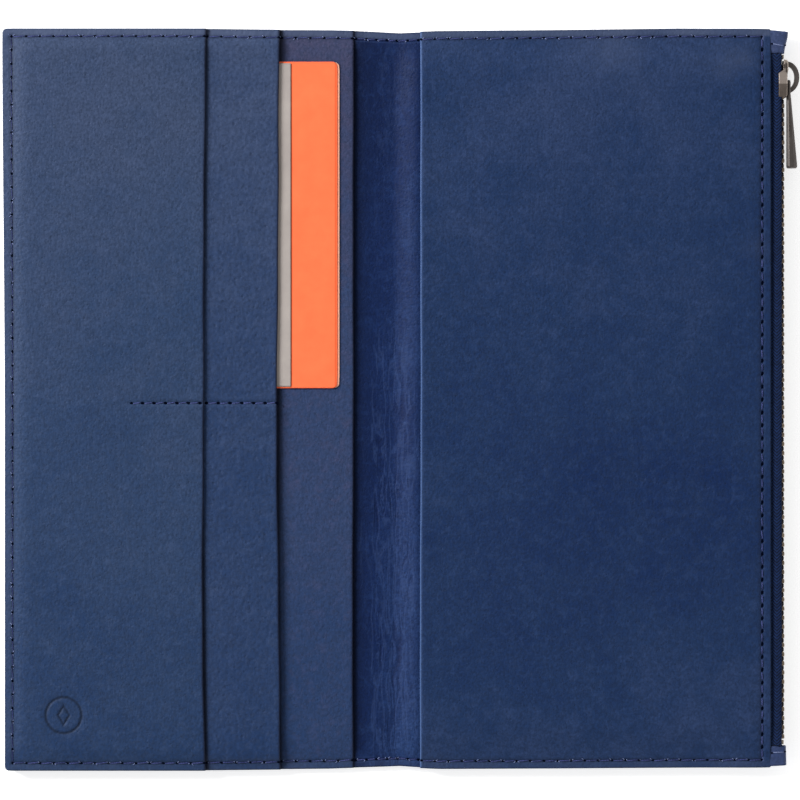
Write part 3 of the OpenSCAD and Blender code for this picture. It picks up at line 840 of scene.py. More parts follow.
ORANGE_PAPER = paper("paper_orange", (250, 108, 66), (255, 116, 72),
                     fold=LEAFLET["leaflet_cover"][1][0] - 0.5)
GREY_PAPER = paper("paper_grey", (154, 146, 142), (164, 156, 151),
                   shade=(-25.55, -25.2, (104, 72, 58)))
CREAM_PAPER = paper("paper_cream", (246, 176, 148), (250, 190, 164))
BOARD = paper("board", (140, 128, 108), (156, 144, 122), rough=0.8)


# ---------------------------------------------------------------- leather layers
FINE_HEMS = [(-HALF_Y, -HALF_Y + 4.4, 0.3), (HALF_Y - 4.4, HALF_Y, 0.3)]
FINE_DIVIDER = (DIVIDER_Y - 1.6, DIVIDER_Y + 1.6, 0.25)


def fine_mark(centre):
    return (centre - 6.3, centre + 6.3, 0.3)


def fine_mouth(mouth, end):
    """Fine ranges beside a covering pocket's mouth, up to this pocket's own."""
    return [(mouth - 0.6, mouth + 1.6, 0.2), (mouth - 1.5, end, 0.75)]


def front_bottom(x, y):
    return z_front(x, y) + mark(x, y) - 0.62 - 0.3 * hem(edge_distance(x, y))


def middle_bottom(x, y):
    d = edge_distance(x, y)
    return np.maximum(z_middle(x, y) - 0.64 - 0.25 * hem(d), 3.42 * (d > 3.1))


def rear_bottom(x, y):
    return z_rear(x, y) - 0.65 - 0.2 * hem(edge_distance(x, y))


def card_pockets():
    front = sheet("pocket_front_leather",
                  grid_lines(LEFT, FRONT_X, 1.5, [(LEFT, LEFT + 4.4, 0.32), fine_mark(MARK_X)]),
                  grid_lines(-HALF_Y, HALF_Y, 0.75, FINE_HEMS + [fine_mark(MARK_Y), FINE_DIVIDER]),
                  z_front, front_bottom, FRONT_LEATHER, side=-1, free="r",
                  wobble=0.22, bow=0.72, marks=lambda x, y: ease((mark(x, y) - 0.08) / 0.22))
    attach(front, "front_half", "card_pocket_front")
    ys = grid_lines(-HALF_Y, HALF_Y, 1.5, FINE_HEMS + [FINE_DIVIDER])
    fine = [(LEFT, LEFT + 5.5, 0.4)] + fine_mouth(FRONT_X, MIDDLE_X)
    middle = sheet("pocket_middle_leather", grid_lines(LEFT, MIDDLE_X, 1.5, fine), ys,
                   z_middle, middle_bottom, MIDDLE_LEATHER, side=-1, free="r",
                   wobble=-0.25, bow=0.5, shadows=((FRONT_X, 1.15, 0.72, 1.0),))
    attach(middle, "front_half", "card_pocket_middle")
    fine = [(LEFT, LEFT + 3, 0.5)] + fine_mouth(MIDDLE_X, REAR_X)
    rear = sheet("pocket_rear_leather", grid_lines(LEFT, REAR_X, 1.5, fine), ys,
                 z_rear, rear_bottom, REAR_LEATHER, side=-1, free="r",
                 wobble=0.12, bow=0.12, shadows=((MIDDLE_X, 1.15, 0.5, 1.0),))
    attach(rear, "front_half", "card_pocket_rear")


def panel_bottom(x, y):
    h = hem(HALF_Y - np.abs(y))
    return (z_panel(x, y) + seam_right(x, y) - 0.8) * (1 - h) + 2.64 * h


def document_panel():
    fine = [(SEAM_RIGHT - 1.6, PANEL_RIGHT, 0.3), (PANEL_X, PANEL_X + 3, 0.5)]
    panel = sheet("document_panel_leather", grid_lines(PANEL_X, PANEL_RIGHT, 1.5, fine),
                  grid_lines(-HALF_Y, HALF_Y, 0.75, FINE_HEMS), z_panel, panel_bottom,
                  PANEL_LEATHER, side=1, corner=0.5, rounding=0.32, free="l",
                  wobble=0.1, spots=((91, 89, 5.5, 0.5), (60, 93, 9, 0.3), (97, 40, 4, 0.2)))
    attach(panel, "back_half", "document_panel")


def pocket_wall():
    """The cloth wall between the back half's pockets, and the edges that close it in y."""
    for end, y0, y1 in (("top", HALF_Y - 3.0, HALF_Y - 0.12),
                        ("bottom", -HALF_Y + 0.12, -HALF_Y + 3.0)):
        edge = sheet("pocket_wall_edges_" + end, grid_lines(PANEL_X + 0.4, RIGHT - 0.1, 3),
                     grid_lines(y0, y1, 0.5), lambda x, y: 2.6 + 0 * x - 0.03 * np.sin(x * 0.6),
                     lambda x, y: 1.05 + 0 * x, COVER_LEATHER, side=1,
                     rounding=0.45)
        attach(edge, "back_half")

    def bottom(x, y, base=2.12):
        return base + 1.28 * ease((x - 87) / 7) + waves(x, y, 0.03)

    wall = sheet("pocket_wall_cloth", grid_lines(14, 99.5, 2.0),
                 grid_lines(-HALF_Y + 2.8, HALF_Y - 2.8, 3.0),
                 lambda x, y: bottom(x, y, 2.35), bottom, LINING, rounding=0.1,
                 seams=False)
    attach(wall, "back_half", "zip_pocket_divider")


def cover_bottom(x, y, seam_x):
    """Outer face: flat, with the seam's valley and fine ridges along the spine."""
    line = np.maximum(bell(np.abs(y) - SEAM_Y, 0.42),
                      bell(x - seam_x, 0.42) * (np.abs(y) < SEAM_Y + 1))
    line = np.where(x * np.sign(seam_x) > abs(seam_x) + 0.8, 0, line)
    ridges = bell(np.sin(x * 1.6 + 0.5 * np.sin(y * 0.09)), 0.5)
    return 0.44 * line + 0.05 * ease((10 - np.abs(x)) / 6) * ridges


def cover():
    """Two pieces that meet on the spine's centre line."""
    ys = grid_lines(-HALF_Y, HALF_Y, 1.0, FINE_HEMS)
    left = [grid_lines(LEFT, -10, 1.6, [(LEFT, LEFT + 3.6, 0.3)]), grid_lines(-10, 0, 0.4)]
    right = [grid_lines(0, 10, 0.4), grid_lines(10, RIGHT, 1.6, [(RIGHT - 3.6, RIGHT, 0.3)])]
    for half, xs, seam_x, side, flat, fold, nodes in (
            ("front", left, SEAM_LEFT, -1, "r", "left_fold", ("cover_front", "cover_spine")),
            ("back", right, SEAM_RIGHT, 1, "l", "right_fold", ("cover_back",))):
        piece = sheet("cover_leather_" + half, np.unique(np.concatenate(xs)), ys,
                      lambda x, y: COVER_TOP - 0.02 + 0 * x,
                      lambda x, y: cover_bottom(x, y, seam_x), COVER_LEATHER,
                      side=side, rounding=0.35, flat=flat)
        attach(piece, fold, *nodes)


def gutter():
    """The leather inside the spine, in two pieces that meet at x = 0."""
    ys = grid_lines(-HALF_Y + 0.05, HALF_Y - 0.05, 1.0, FINE_HEMS)
    left = sheet("gutter_leather_left",
                 grid_lines(-16.5, 0, 0.5, [(-9.5, -5, 0.25), (-5, 0, 0.15)]), ys, z_gutter,
                 lambda x, y: COVER_TOP + 0.02 + 0 * x, GUTTER_LEATHER,
                 rounding=0.2, flat="r", shadows=((REAR_X, 1.5, 0.12, 1.0),
                                                  (REAR_X, 5.2, 0.12, 0.33)),
                 marks=lambda x, y: creases(x, y) * ease((x + 8.4) / 1.2))
    attach(left, "left_fold", "gutter_lining_front", "gutter_lining_spine")
    right = sheet("gutter_leather_right", grid_lines(0, 16.5, 0.5, [(0, 8.9, 0.15)]), ys, z_gutter,
                  lambda x, y: np.maximum(z_gutter(x, y) - 0.5 - 0.1 * ease((x - 2) / 3),
                                          COVER_TOP + 0.02),
                  GUTTER_LEATHER, rounding=0.2, flat="l", marks=creases)
    attach(right, "right_fold", "gutter_lining_back")


card_pockets()
document_panel()
pocket_wall()
cover()
gutter()


# ---------------------------------------------------------------- stitching
def stitch_group():
    """Stitches, the short turns of thread at the holes, and the needle holes, near-black solids of
    painted shade.
    """
    return Solids(), Solids(), Solids()


def stitch_run(group, a, b, count, surface, up=1, radius=0.14, hole=(0.42, 0.3), gap=0.36,
               turn_hole=0.0, turned=True, sink=0.02, slant=0.1):
    """Stitches from a to b on a surface z(x, y) that faces up (1) or down (-1).

    The thread lies in the seam's valley between the holes; turned adds its short ends there.
    """
    stitches, turns, holes = group
    a, b = np.array(a, float), np.array(b, float)
    step = (b - a) / count
    t = step / np.linalg.norm(step)
    normal = np.array([-t[1], t[0]])
    k = np.linspace(0, 1, 7)

    def strand(solids, p, q, thickness, h0, h1):
        xy = p[None] * (1 - k)[:, None] + q[None] * k[:, None]
        z = np.array([float(surface(*c)) for c in xy])
        h = h0 * (1 - k) + h1 * k + 0.08 * np.sin(np.pi * k)
        x, y = warp(xy[:, 0], xy[:, 1])
        radii = thickness * (0.8 + 0.2 * np.sin(np.pi * k))
        solids.tube(np.stack([x, y, z + up * (h - sink)], -1), radii, 7)

    for i in range(count):
        p = a + step * i
        j = rng.normal(0, 0.04, 4)
        strand(stitches, p + t * (gap + j[0]) - normal * (slant + j[1]),
               p + step - t * (gap + j[2]) + normal * (slant + j[3]), radius, 0.0, 0.0)
        if turned:
            way = 1 if rng.random() < 0.6 else -1
            for side in (-1, 1):
                size = rng.uniform(0.55, 1.25)
                if rng.random() < 0.74:
                    across = 0.42 * size * way + rng.normal(0, 0.08)
                    strand(turns, p + t * 0.14 * side,
                           p + t * side * 0.62 * size + normal * across, 0.11, -0.03, 0.09)
    for i in range(count + 1):
        p = a + step * i
        x, y = warp(*p)
        holes.ellipsoid((x, y, float(surface(*p)) + up * 0.08), (*hole, 0.09),
                        math.atan2(t[1], t[0]) + turn_hole)


def stitch_count(length, pitch=PITCH):
    return int(round(length / pitch))


def cover_face(x, y):
    return 0.36


def stitching():
    groups = defaultdict(stitch_group)

    def rows(table, **style):
        """Rows along x near both y edges: (group, x from, x to, count, surface)."""
        for side in (1, -1):
            y = side * SEAM_Y
            for name, x0, x1, count, surface in table:
                stitch_run(groups[name], (x0, y), (x1, y), count, surface, **style)

    def column(name, x, pitch, surface, **style):
        stitch_run(groups[name], (x, -SEAM_Y), (x, SEAM_Y), stitch_count(2 * SEAM_Y, pitch),
                   surface, **style)

    rows((
        ("front", SEAM_LEFT, FRONT_X - 0.35, stitch_count(FRONT_X - SEAM_LEFT), z_front),
        ("front", FRONT_X + 0.35, MIDDLE_X - 0.35, stitch_count(MIDDLE_X - FRONT_X), z_middle),
        ("front", MIDDLE_X + 0.35, REAR_X - 0.35, stitch_count(REAR_X - MIDDLE_X), z_rear),
        ("spine_l", REAR_X + 0.6, -0.05, 3, z_gutter),
        ("spine_r", 2.6, PANEL_X - 0.5, 2, z_gutter),
        ("spine_r", 0.05, 2.6, 1, z_gutter),
        ("back", PANEL_X + 0.3, SEAM_RIGHT, stitch_count(SEAM_RIGHT - PANEL_X), z_panel),
    ))
    column("left", SEAM_LEFT, PITCH, z_front)
    column("right_seam", SEAM_RIGHT, EDGE_PITCH, z_panel, radius=0.19, hole=(0.64, 0.46),
           gap=0.7, turn_hole=-0.75, turned=False, slant=0.04)
    for x0, x1, length, surface in (
            (divider_low[0], FRONT_X - 1.5, FRONT_X - divider_low[0], z_front),
            (FRONT_X + 0.2, divider_high[0] - 0.3, divider_high[0] - FRONT_X, z_middle)):
        stitch_run(groups["divider"], (x0, DIVIDER_Y), (x1, DIVIDER_Y),
                   stitch_count(length, DIVIDER_PITCH), surface, radius=0.15, hole=(0.5, 0.4),
                   gap=0.52, turn_hole=-0.25, turned=False, sink=-0.03)
    # outer face of the cover
    bend = FOLD_X + BLEND
    rows((
        ("out_front", SEAM_LEFT, -bend, stitch_count(-bend - SEAM_LEFT), cover_face),
        ("out_spine_l", -bend, 0, 2, cover_face),
        ("out_spine_r", 0, bend, 2, cover_face),
        ("out_back", bend, SEAM_RIGHT, stitch_count(SEAM_RIGHT - bend), cover_face),
    ), up=-1)
    column("out_front", SEAM_LEFT, PITCH, cover_face, up=-1)
    column("out_back", SEAM_RIGHT, EDGE_PITCH, cover_face, up=-1)

    # body, thread and the CAD nodes each group replaces
    table = {
        "front": ("front_half", MID_THREAD, "stitching_pockets"),
        "left": ("front_half", DEEP_THREAD),
        "divider": ("front_half", DIVIDER_THREAD, "stitching_card_divider"),
        "out_front": ("front_half", MID_THREAD, "stitching_cover_front"),
        "spine_l": ("left_fold", MID_THREAD, "stitching_spine"),
        "spine_r": ("right_fold", MID_THREAD),
        "out_spine_l": ("left_fold", MID_THREAD),
        "out_spine_r": ("right_fold", MID_THREAD),
        "back": ("back_half", MID_THREAD, "stitching_panel"),
        "right_seam": ("back_half", SEAM_THREAD),
        "out_back": ("back_half", MID_THREAD, "stitching_cover_back"),
    }
    for name, (stitches, turns, holes) in groups.items():
        body, material, *nodes = table[name]
        attach(stitches.make("stitches_" + name, material, "thread"), body, *nodes)
        if turns.count:
            attach(turns.make("stitch_turns_" + name, LIGHT_THREAD, "thread"), body)
        attach(holes.make("needle_holes_" + name, HOLE_SHADE, "thread"), body)


stitching()


# ---------------------------------------------------------------- leaflet
def page(name, node, material, corner=1.4):
    low, high = LEAFLET[node]

    def curl(x, y):
        return 0.05 * ease((x - (high[0] - 8)) / 8) * (0.5 + 0.5 * np.sin(y * 0.04))

    obj = sheet(name, grid_lines(low[0], high[0], 1.6), grid_lines(low[1], high[1], 2.5),
                lambda x, y: high[2] + curl(x, y), lambda x, y: low[2] + curl(x, y) + 0.01,
                material, side=1, corner=corner, rounding=0.06, free="r", outlined=False,
                seams=False)
    attach(obj, "leaflet", node)


page("leaflet_back_sheet", "leaflet_back_page", CREAM_PAPER)
page("leaflet_cover_sheet", "leaflet_cover", ORANGE_PAPER)
page("leaflet_front_sheet", "leaflet_front_page", GREY_PAPER, corner=0.3)


# ---------------------------------------------------------------- zip
def bezier(points, n):
    """n points of a cubic curve, without its first."""
    t = np.linspace(0, 1, n + 1)[1:, None]
    p = np.array(points, float)
    return ((1 - t) ** 3 * p[0] + 3 * t * (1 - t) ** 2 * p[1] + 3 * t * t * (1 - t) * p[2]
            + t ** 3 * p[3])


def band(path, thickness):
    """A closed outline of the given thickness round a path."""
    d = np.gradient(path, axis=0)
    d /= np.linalg.norm(d, axis=1)[:, None]
    q = np.stack([-d[:, 1], d[:, 0]], -1) * (thickness[:, None] / 2)
    return np.concatenate([path + q, (path - q)[::-1]])


def loft(name, section, ys, material, shape, smooth=True):
    """A closed section in x, z, carried along y and shaped at each y; section sets its winding."""
    n, m = len(section), len(ys)
    verts = np.zeros((m, n, 3))
    for i, y in enumerate(ys):
        verts[i, :, ::2] = shape(section, y)
        verts[i, :, 1] = y
    idx = np.arange(n * m).reshape(m, n)
    after = np.roll(idx, -1, axis=1)
    sides = np.stack([idx[:-1], idx[1:], after[1:], after[:-1]], -1).reshape(-1, 4)
    caps = []
    for row, step in ((idx[0], 1), (idx[-1], -1)):
        for i in range(n // 2 - 1):
            caps.append([row[i], row[i + 1], row[n - 2 - i], row[n - 1 - i]][::step])
    x, z = section[:, 0], section[:, 1]
    area = 0.5 * np.sum(x * np.roll(z, -1) - np.roll(x, -1) * z)
    faces = np.concatenate([sides, np.array(caps)])
    if area < 0:
        faces = faces[:, ::-1]
    return mesh_object(name, verts.reshape(-1, 3), [faces], material, smooth=smooth)


def part_rows(obj, half):
    """Bakes obj's place."""
    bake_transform(obj)


def wavy(section, y):
    out = section.copy()
    k = np.clip((out[:, 0] - MOUTH_X) / 2.4, 0, 1)
    out[:, 0] += 0.05 * k * math.sin(2 * math.pi * y / 2.4)
    return out


def zip_tapes():
    x, z = MOUTH_X, MOUTH_Z
    path = np.concatenate([
        [[x, z], [x + 0.3, z]],
        bezier([[x + 0.3, z], [x + 0.6, z], [x + 0.8, z + 0.3], [x + 1.3, z + 0.37]], 8),
        bezier([[x + 1.3, z + 0.37], [x + 1.9, z + 0.5], [CHAIN_X - 0.14, z + 0.62],
                [CHAIN_X - 0.2, z]], 10),
        [[CHAIN_X - 0.28, z - 0.3], [CHAIN_X - 0.28, z - 0.6]]])
    thickness = np.full(len(path), 0.3)
    thickness[-7:] = 0.44
    top = band(path, thickness)
    bottom = top.copy()
    bottom[:, 1] = 2 * CHAIN_Z - bottom[:, 1]
    for half, y0, y1 in (("lower", -90.8, 0), ("upper", 0, 90.8)):
        ys = np.linspace(y0, y1, 230)
        for row, section, level in (("top", top, "upper"), ("bottom", bottom, "lower")):
            obj = loft(f"zip_tape_{row}_{half}", section, ys, TAPE, wavy)
            part_rows(obj, half)
            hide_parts("zip_tape_edge_" + level)


# half a tooth's outline across the chain (x, z), from its head to its legs, and its mirror
TOOTH_HALF = [(0.28, -0.52), (0.50, -0.40), (0.66, 0.05), (0.70, 0.7), (0.64, 1.35), (0.48, 1.55)]
TOOTH = np.array([(-0.50, -0.40), (-0.28, -0.52)] + TOOTH_HALF
                 + [(-x, z) for x, z in TOOTH_HALF[:1:-1]])
TOOTH_REACH = 0.6       # half its length in y
# y and scale of the outline along a tooth
TOOTH_STATIONS = ((-TOOTH_REACH, 0.80), (-TOOTH_REACH + 0.1, 0.95), (-TOOTH_REACH + 0.22, 1.0),
                  (TOOTH_REACH - 0.42, 1.0), (TOOTH_REACH - 0.2, 0.9), (TOOTH_REACH, 0.66))


def add_tooth(solids, centre_y, flip):
    centre = np.array([0, 0.45])
    rings = []
    for y, k in TOOTH_STATIONS:
        p = (TOOTH - centre) * k + centre
        rings.append(np.stack([p[:, 0], np.full(len(p), y), p[:, 1]], -1))
    ends = [[0, -TOOTH_REACH, 0.45], [0, TOOTH_REACH, 0.45]]
    verts = np.concatenate(rings + [ends])
    if flip:
        verts[:, 2] *= -1
    verts = verts + np.array([CHAIN_X + 0.07, centre_y, CHAIN_Z])
    n, m = len(TOOTH), len(rings)
    faces = []
    for i in range(0, (m - 1) * n, n):
        for k in range(n):
            k2 = (k + 1) % n
            quad = [i + k, i + k2, i + n + k2, i + n + k]
            faces.append(quad if flip else quad[::-1])
    last = (m - 1) * n
    for k in range(n):
        k2 = (k + 1) % n
        a, b = (k2, k) if flip else (k, k2)
        faces.append([n * m, a, b, b])
        faces.append([n * m + 1, last + b, last + a, last + a])
    solids.add(verts, faces)


def zip_teeth():
    pitch = 2.4
    first = teeth_low[1] + 0.55
    count = int(round((teeth_high[1] - teeth_low[1] - 1.1) / pitch)) + 1
    for row, flip, offset, n, level in (("top", False, 0.0, count, "upper"),
                                        ("bottom", True, pitch / 2, count - 1, "lower")):
        halves = {"lower": Solids(), "upper": Solids()}
        for i in range(n):
            y = first + offset + i * pitch
            add_tooth(halves["lower" if y < 0 else "upper"], y, flip)
        for half, solids in halves.items():
            obj = solids.make(f"zip_teeth_{row}_{half}", TEETH_METAL, "zip_teeth_metal")
            part_rows(obj, half)
            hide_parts("zip_teeth_" + level)


TAB_Z, TAB_HALF = (tab_low[2] + tab_high[2]) / 2, (tab_high[2] - tab_low[2]) / 2
TAB_LENGTH = tab_high[1] - tab_low[1]


def tab_section():
    """A strip folded round the leather's right edge: its outer line, then its inner."""
    width = tab_high[0]
    flap = [(RIGHT - 2.2, TAB_HALF - 0.03), (RIGHT - 0.4, TAB_HALF - 0.02),
            (RIGHT + 0.8, TAB_HALF)]
    angles = np.radians(np.linspace(90, -90, 17))
    nose = [(width - 0.9 + 0.9 * math.cos(a), TAB_HALF * math.sin(a)) for a in angles]
    outer = flap + nose + [(x, -z) for x, z in reversed(flap)]
    bend = width - 1.6
    inner = [((x - bend) * 0.72 + bend if x > bend else x, z * (1 - 0.75 / TAB_HALF))
             for x, z in outer]
    return np.array(outer + inner[::-1]) + np.array([0, TAB_Z])


def tab_taper(section, y):
    out = section.copy()
    k = (abs(y) - tab_low[1]) / TAB_LENGTH
    grow = 0.9 + 0.24 * ease(k) if y > 0 else 1.0 + 0.025 * ease(k)
    out[:, 0] = np.where(out[:, 0] > RIGHT, RIGHT + (out[:, 0] - RIGHT) * grow, out[:, 0])
    to_end = min(k, 1 - k) * TAB_LENGTH
    out[:, 1] = TAB_Z + (out[:, 1] - TAB_Z) * (1 - 0.10 * math.exp(-(to_end / 0.35) ** 2))
    return out


def end_tabs():
    """Leather tabs over the zip's ends, and their stitches."""
    # drop: how far the end is drawn in, and how much more at the outside
    for end, y0, y1, drop in (("top", tab_low[1], tab_high[1], (0.35, 0.45)),
                              ("bottom", -tab_high[1], -tab_low[1], (1.15, 0.25))):
        def draw_in(points):
            along = np.clip((np.abs(points[:, 1]) / MM - tab_low[1]) / TAB_LENGTH, 0, 1)
            out = np.clip((points[:, 0] / MM - RIGHT) / 4.5, 0, 1)
            shift = along * (drop[0] + drop[1] * out) * MM
            points[:, 1] -= np.sign(points[:, 1]) * shift.astype(np.float32)

        ys = np.concatenate([np.linspace(y0, y0 + 0.8, 6), np.linspace(y0 + 1.2, y1 - 1.2, 10),
                             np.linspace(y1 - 0.8, y1, 6)])
        tab = loft("zip_tab_" + end, tab_section(), ys, TAB_LEATHER, tab_taper)
        move_points(tab, draw_in)
        attach(tab, "back_half", "zip_end_tab_" + end)
    group = stitch_group()
    for side in (1, -1):
        for up in (1, -1):
            stitch_run(group, (RIGHT + 0.4, side * 93.6), (RIGHT + 3.9, side * 93.3), 1,
                       lambda x, y: TAB_Z + up * TAB_HALF, up=up, radius=0.13, gap=0.35,
                       hole=(0.3, 0.2), slant=-0.1, turned=False)
    attach(group[0].make("stitches_end_tabs", LIGHT_THREAD, "thread"), "back_half",
           "stitching_end_tabs")
    attach(group[2].make("needle_holes_end_tabs", HOLE_SHADE, "thread"), "back_half")


def finish_node(node, material, bevel=0.0, segments=3):
    """Shows a CAD node as it is, with a material and perhaps a bevel."""
    obj = frame["nodes"][node]
    obj.data.materials.clear()
    obj.data.materials.append(material)
    if bevel:
        soften(obj, bevel, segments)


zip_tapes()
zip_teeth()
end_tabs()
for node, material in (("front_board", BOARD), ("back_board", BOARD), ("front_lining", LINING),
                       ("zip_pocket_lining", LINING), ("zip_tape_upper", TAPE),
                       ("zip_tape_lower", TAPE)):
    finish_node(node, material)
for node in ("zip_top_stop_upper", "zip_top_stop_lower", "zip_bottom_stop"):
    finish_node(node, STOP_METAL, bevel=0.1)


# ---------------------------------------------------------------- slider and pull
def slider_shell():
    """Two plates and two flanges, each a flat y, z outline with a thickness along x."""
    y0, length = slider_low[1], slider_high[1] - slider_low[1]

    def both_sides(points):
        """Half an outline (y from the lower end, z from the chain), mirrored about the chain."""
        return ([(y0 + y, CHAIN_Z + z) for y, z in points]
                + [(y0 + y, CHAIN_Z - z) for y, z in reversed(points)])

    x0, x1 = slider_low[0], slider_high[0]
    plate = both_sides([(0, 1.62), (0.5, 2.12), (length - 3.2, 2.6), (length - 1.2, 2.6),
                        (length - 0.3, 1.9), (length, 1.0)])
    inner_plate = both_sides([(0, 0.8), (0.5, 1.1), (length - 2.2, 1.25), (length - 0.9, 1.1),
                              (length - 0.2, 0.5)])
    flange = [(0.5, 1.62), (0.5, 2.12), (length - 3.2, 2.6), (length - 1.2, 2.6),
              (length - 1.2, 2.1), (length - 3.2, 2.1)]
    parts = [(plate, x1 - 0.6, x1), (inner_plate, x0, x0 + 0.45)]
    for side in (1, -1):
        parts.append(([(y0 + y, CHAIN_Z + side * z) for y, z in flange], x1 - 1.1, x1 - 0.5))
    verts, faces = [], []
    for outline, near, far in parts:
        base, n = len(verts), len(outline)
        verts += [(x * MM, y * MM, z * MM) for x in (near, far) for y, z in outline]
        faces += [(base + i, base + (i + 1) % n, base + n + (i + 1) % n, base + n + i)
                  for i in range(n)]
        faces += [tuple(range(base + n - 1, base - 1, -1)), tuple(range(base + n, base + 2 * n))]
    mesh = bpy.data.meshes.new("slider_shell")
    mesh.from_pydata(verts, [], faces)
    face_outwards(mesh)
    shell = link_object("slider_shell", mesh, SHELL_METAL)
    soften(shell, 0.14)
    attach(shell, "zip_slider", "slider_body")


PULL_X, PULL_Z = pull_low[0], (pull_low[2] + pull_high[2]) / 2


def pull_section(_, y):
    """A chamfered bar that thickens towards its lower end."""
    k = min(max((pull_high[1] - 3.9 - y) / (pull_high[1] - 4.4 - pull_low[1]), 0), 1)
    grow = 1 - 0.12 * math.exp(-((y - pull_low[1]) / 0.22) ** 2)
    x0, x1, half = PULL_X + 0.03 - 0.03 * k, PULL_X + 0.93 + 1.72 * k, 1.5 + 0.18 * k
    # chamfers of the inner (x0) and outer (x1) faces
    in_x, in_z, out_x, out_z = 0.22 + 0.34 * k, 0.2 + 0.42 * k, 0.2 + 0.72 * k, 0.2 + 0.36 * k
    points = np.array([(x0, -half + in_z), (x0, half - in_z), (x0 + in_x, half),
                       (x1 - out_x, half), (x1, half - out_z), (x1, -half + out_z),
                       (x1 - out_x, -half), (x0 + in_x, -half)])
    middle = np.array([(x0 + x1) / 2, 0])
    return (points - middle) * grow + middle + np.array([0, PULL_Z])


def zip_pull():
    low, high = pull_low[1], pull_high[1]
    ys = np.concatenate([low + np.array([0, 0.12, 0.26, 0.5]),
                         np.linspace(low + 1.5, high - 3.95, 14)])
    blade = loft("pull_blade", pull_section(None, low + 2), ys, PULL_METAL,
                 pull_section, smooth=False)
    face_outwards(blade.data)
    add_bevel(blade, 0.05, 2, 20)

    # the eye: a wire loop with its two feet in the blade
    half_width, bend = 1.275, 0.75
    x, top = PULL_X + 0.48, high - 0.36
    loop = [(x, high - d, PULL_Z - half_width) for d in (5.2, 3.4)]
    for start, side in ((180, -1), (90, 1)):
        for a in np.radians(np.linspace(start, start - 90, 9)):
            loop.append((x, top - bend + bend * math.sin(a),
                         PULL_Z + side * (half_width - bend) + bend * math.cos(a)))
    loop += [(x, high - d, PULL_Z + half_width) for d in (3.4, 5.2)]
    wire = Solids()
    wire.tube(loop, 0.34, 14)
    eye = wire.make("pull_eye", PULL_METAL, "gunmetal")

    def thicken(points):
        points[:, 0] = x * MM + (points[:, 0] - x * MM) * 1.26

    move_points(eye, thicken)
    attach(blade, "zip_pull", "pull_tab")
    attach(eye, "zip_pull")


# y from the slider's lower end, then the shoulder's height off the chain or its x there
SHOULDER_HEIGHT = ([0, 0.15, 3.4, 6.1, 6.3, 7.4, 9.5, 9.8],
                   [2.5, 2.66, 3.12, 2.72, 2.66, 2.62, 2.3, 2.1])
SHOULDER_INNER = ([0, 6.2, 7.0, 9.8], [102.7, 102.7, 103.9, 104.1])
SHOULDER_OUTER = ([0, 0.4, 6.0, 7.0, 9.2, 9.8], [104.75, 105.0, 105.0, 105.25, 105.25, 105.0])
SHOULDER_YS = np.array([0, 0.15, 0.5, 3.3, 3.4, 3.5, 5.9, 6.1, 6.3, 6.7, 7.0, 7.4, 8.6, 9.2, 9.5,
                        9.8])


def shoulder_section(section, y):
    h, a, b = (float(np.interp(y - slider_low[1], *table))
               for table in (SHOULDER_HEIGHT, SHOULDER_INNER, SHOULDER_OUTER))
    foot = min(103.98, b - 0.7) if a < 103.5 else a + 0.05
    out = np.array([(a, 2.32), (a, h - 0.14), (a + 0.14, h), (b - 0.3, h - 0.08), (b, h - 0.4),
                    (b, 1.7), (b - 0.62, 1.7), (foot, 2.3)])
    if section[0, 1] < 0:
        out[:, 1] = -np.minimum(out[:, 1], 2.62)
    out[:, 1] += CHAIN_Z
    return out


def slider_shoulders():
    for name, side in (("top", 1), ("bottom", -1)):
        # the section gives only the point count and the side of the chain
        section = np.array([(102.7, side * 2.32)] * 8)
        obj = loft("slider_shoulder_" + name, section, slider_low[1] + SHOULDER_YS,
                   SHOULDER_METAL, shoulder_section, smooth=False)
        face_outwards(obj.data)
        add_bevel(obj, 0.045, 2, 35)
        attach(obj, "zip_slider")


slider_shell()
finish_node("slider_bridge", BRIDGE_METAL, bevel=0.34, segments=4)
zip_pull()
slider_shoulders()


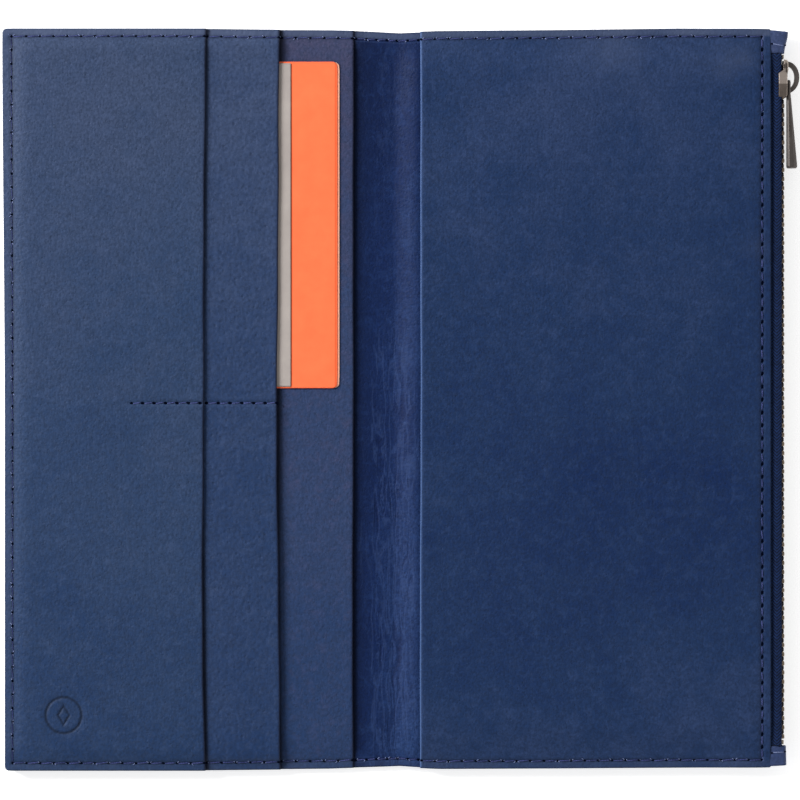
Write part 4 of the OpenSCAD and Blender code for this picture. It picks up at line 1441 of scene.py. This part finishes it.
# ---------------------------------------------------------------- stage, in metres
def floor():
    bpy.ops.mesh.primitive_plane_add(size=8, location=(0, 0, -0.0006))
    plane = bpy.context.object
    plane.name = "floor"
    plane.data.materials.append(Shader("floor_pale", space=None).finish(
        Base_Color=(0.93, 0.93, 0.93, 1), Roughness=0.9, Specular_IOR_Level=0.0,
        Emission_Color=(1, 1, 1, 1), Emission_Strength=0.55))


def studio_world():
    """A bright horizon and a dim ceiling, so that leather seen from above is not washed out."""
    world = bpy.data.worlds.new("studio")
    bpy.context.scene.world = world
    world.use_nodes = True
    nodes, links = world.node_tree.nodes, world.node_tree.links
    background = nodes["Background"]
    coords = nodes.new("ShaderNodeTexCoord")
    axes = nodes.new("ShaderNodeSeparateXYZ")
    strength = nodes.new("ShaderNodeMapRange")
    links.new(coords.outputs["Generated"], axes.inputs[0])
    links.new(axes.outputs[2], strength.inputs[0])
    # from a height of 0.3 to 0.92, the strength falls from 1 to 0.12
    for socket, value in zip(strength.inputs[1:5], (0.3, 0.92, 1.0, 0.12)):
        socket.default_value = value
    links.new(strength.outputs[0], background.inputs[1])
    background.inputs[0].default_value = (1, 1, 1, 1)


def area_light(name, location, size, power):
    """A rectangular light aimed at the origin."""
    light = bpy.data.lights.new(name, "AREA")
    light.shape = "RECTANGLE"
    light.size, light.size_y = size
    light.energy = power
    obj = bpy.data.objects.new(name, light)
    obj.location = location
    obj.rotation_euler = (-Vector(location)).to_track_quat("-Z", "Y").to_euler()
    bpy.context.scene.collection.objects.link(obj)


def camera():
    """Looks straight down, and sees half_view to each side at the height of focus_z."""
    height, focus_z, half_view = 880, 4, 105.0
    data = bpy.data.cameras.new("camera")
    obj = bpy.data.objects.new("camera", data)
    bpy.context.scene.collection.objects.link(obj)
    obj.location = (3.4 * MM, -0.1 * MM, height * MM)
    data.sensor_width = 36
    data.lens = data.sensor_width / 2 / (half_view / (height - focus_z))
    data.clip_start, data.clip_end = 0.01, 20
    bpy.context.scene.camera = obj


floor()
studio_world()
area_light("key", location=(-0.95, 0.5, 0.62), size=(0.35, 0.5), power=24.0)
area_light("fill", location=(0.9, -0.5, 0.9), size=(0.9, 0.9), power=2.0)
camera()
bpy.context.scene.view_settings.view_transform = "Standard"
bpy.context.scene.view_settings.look = "None"
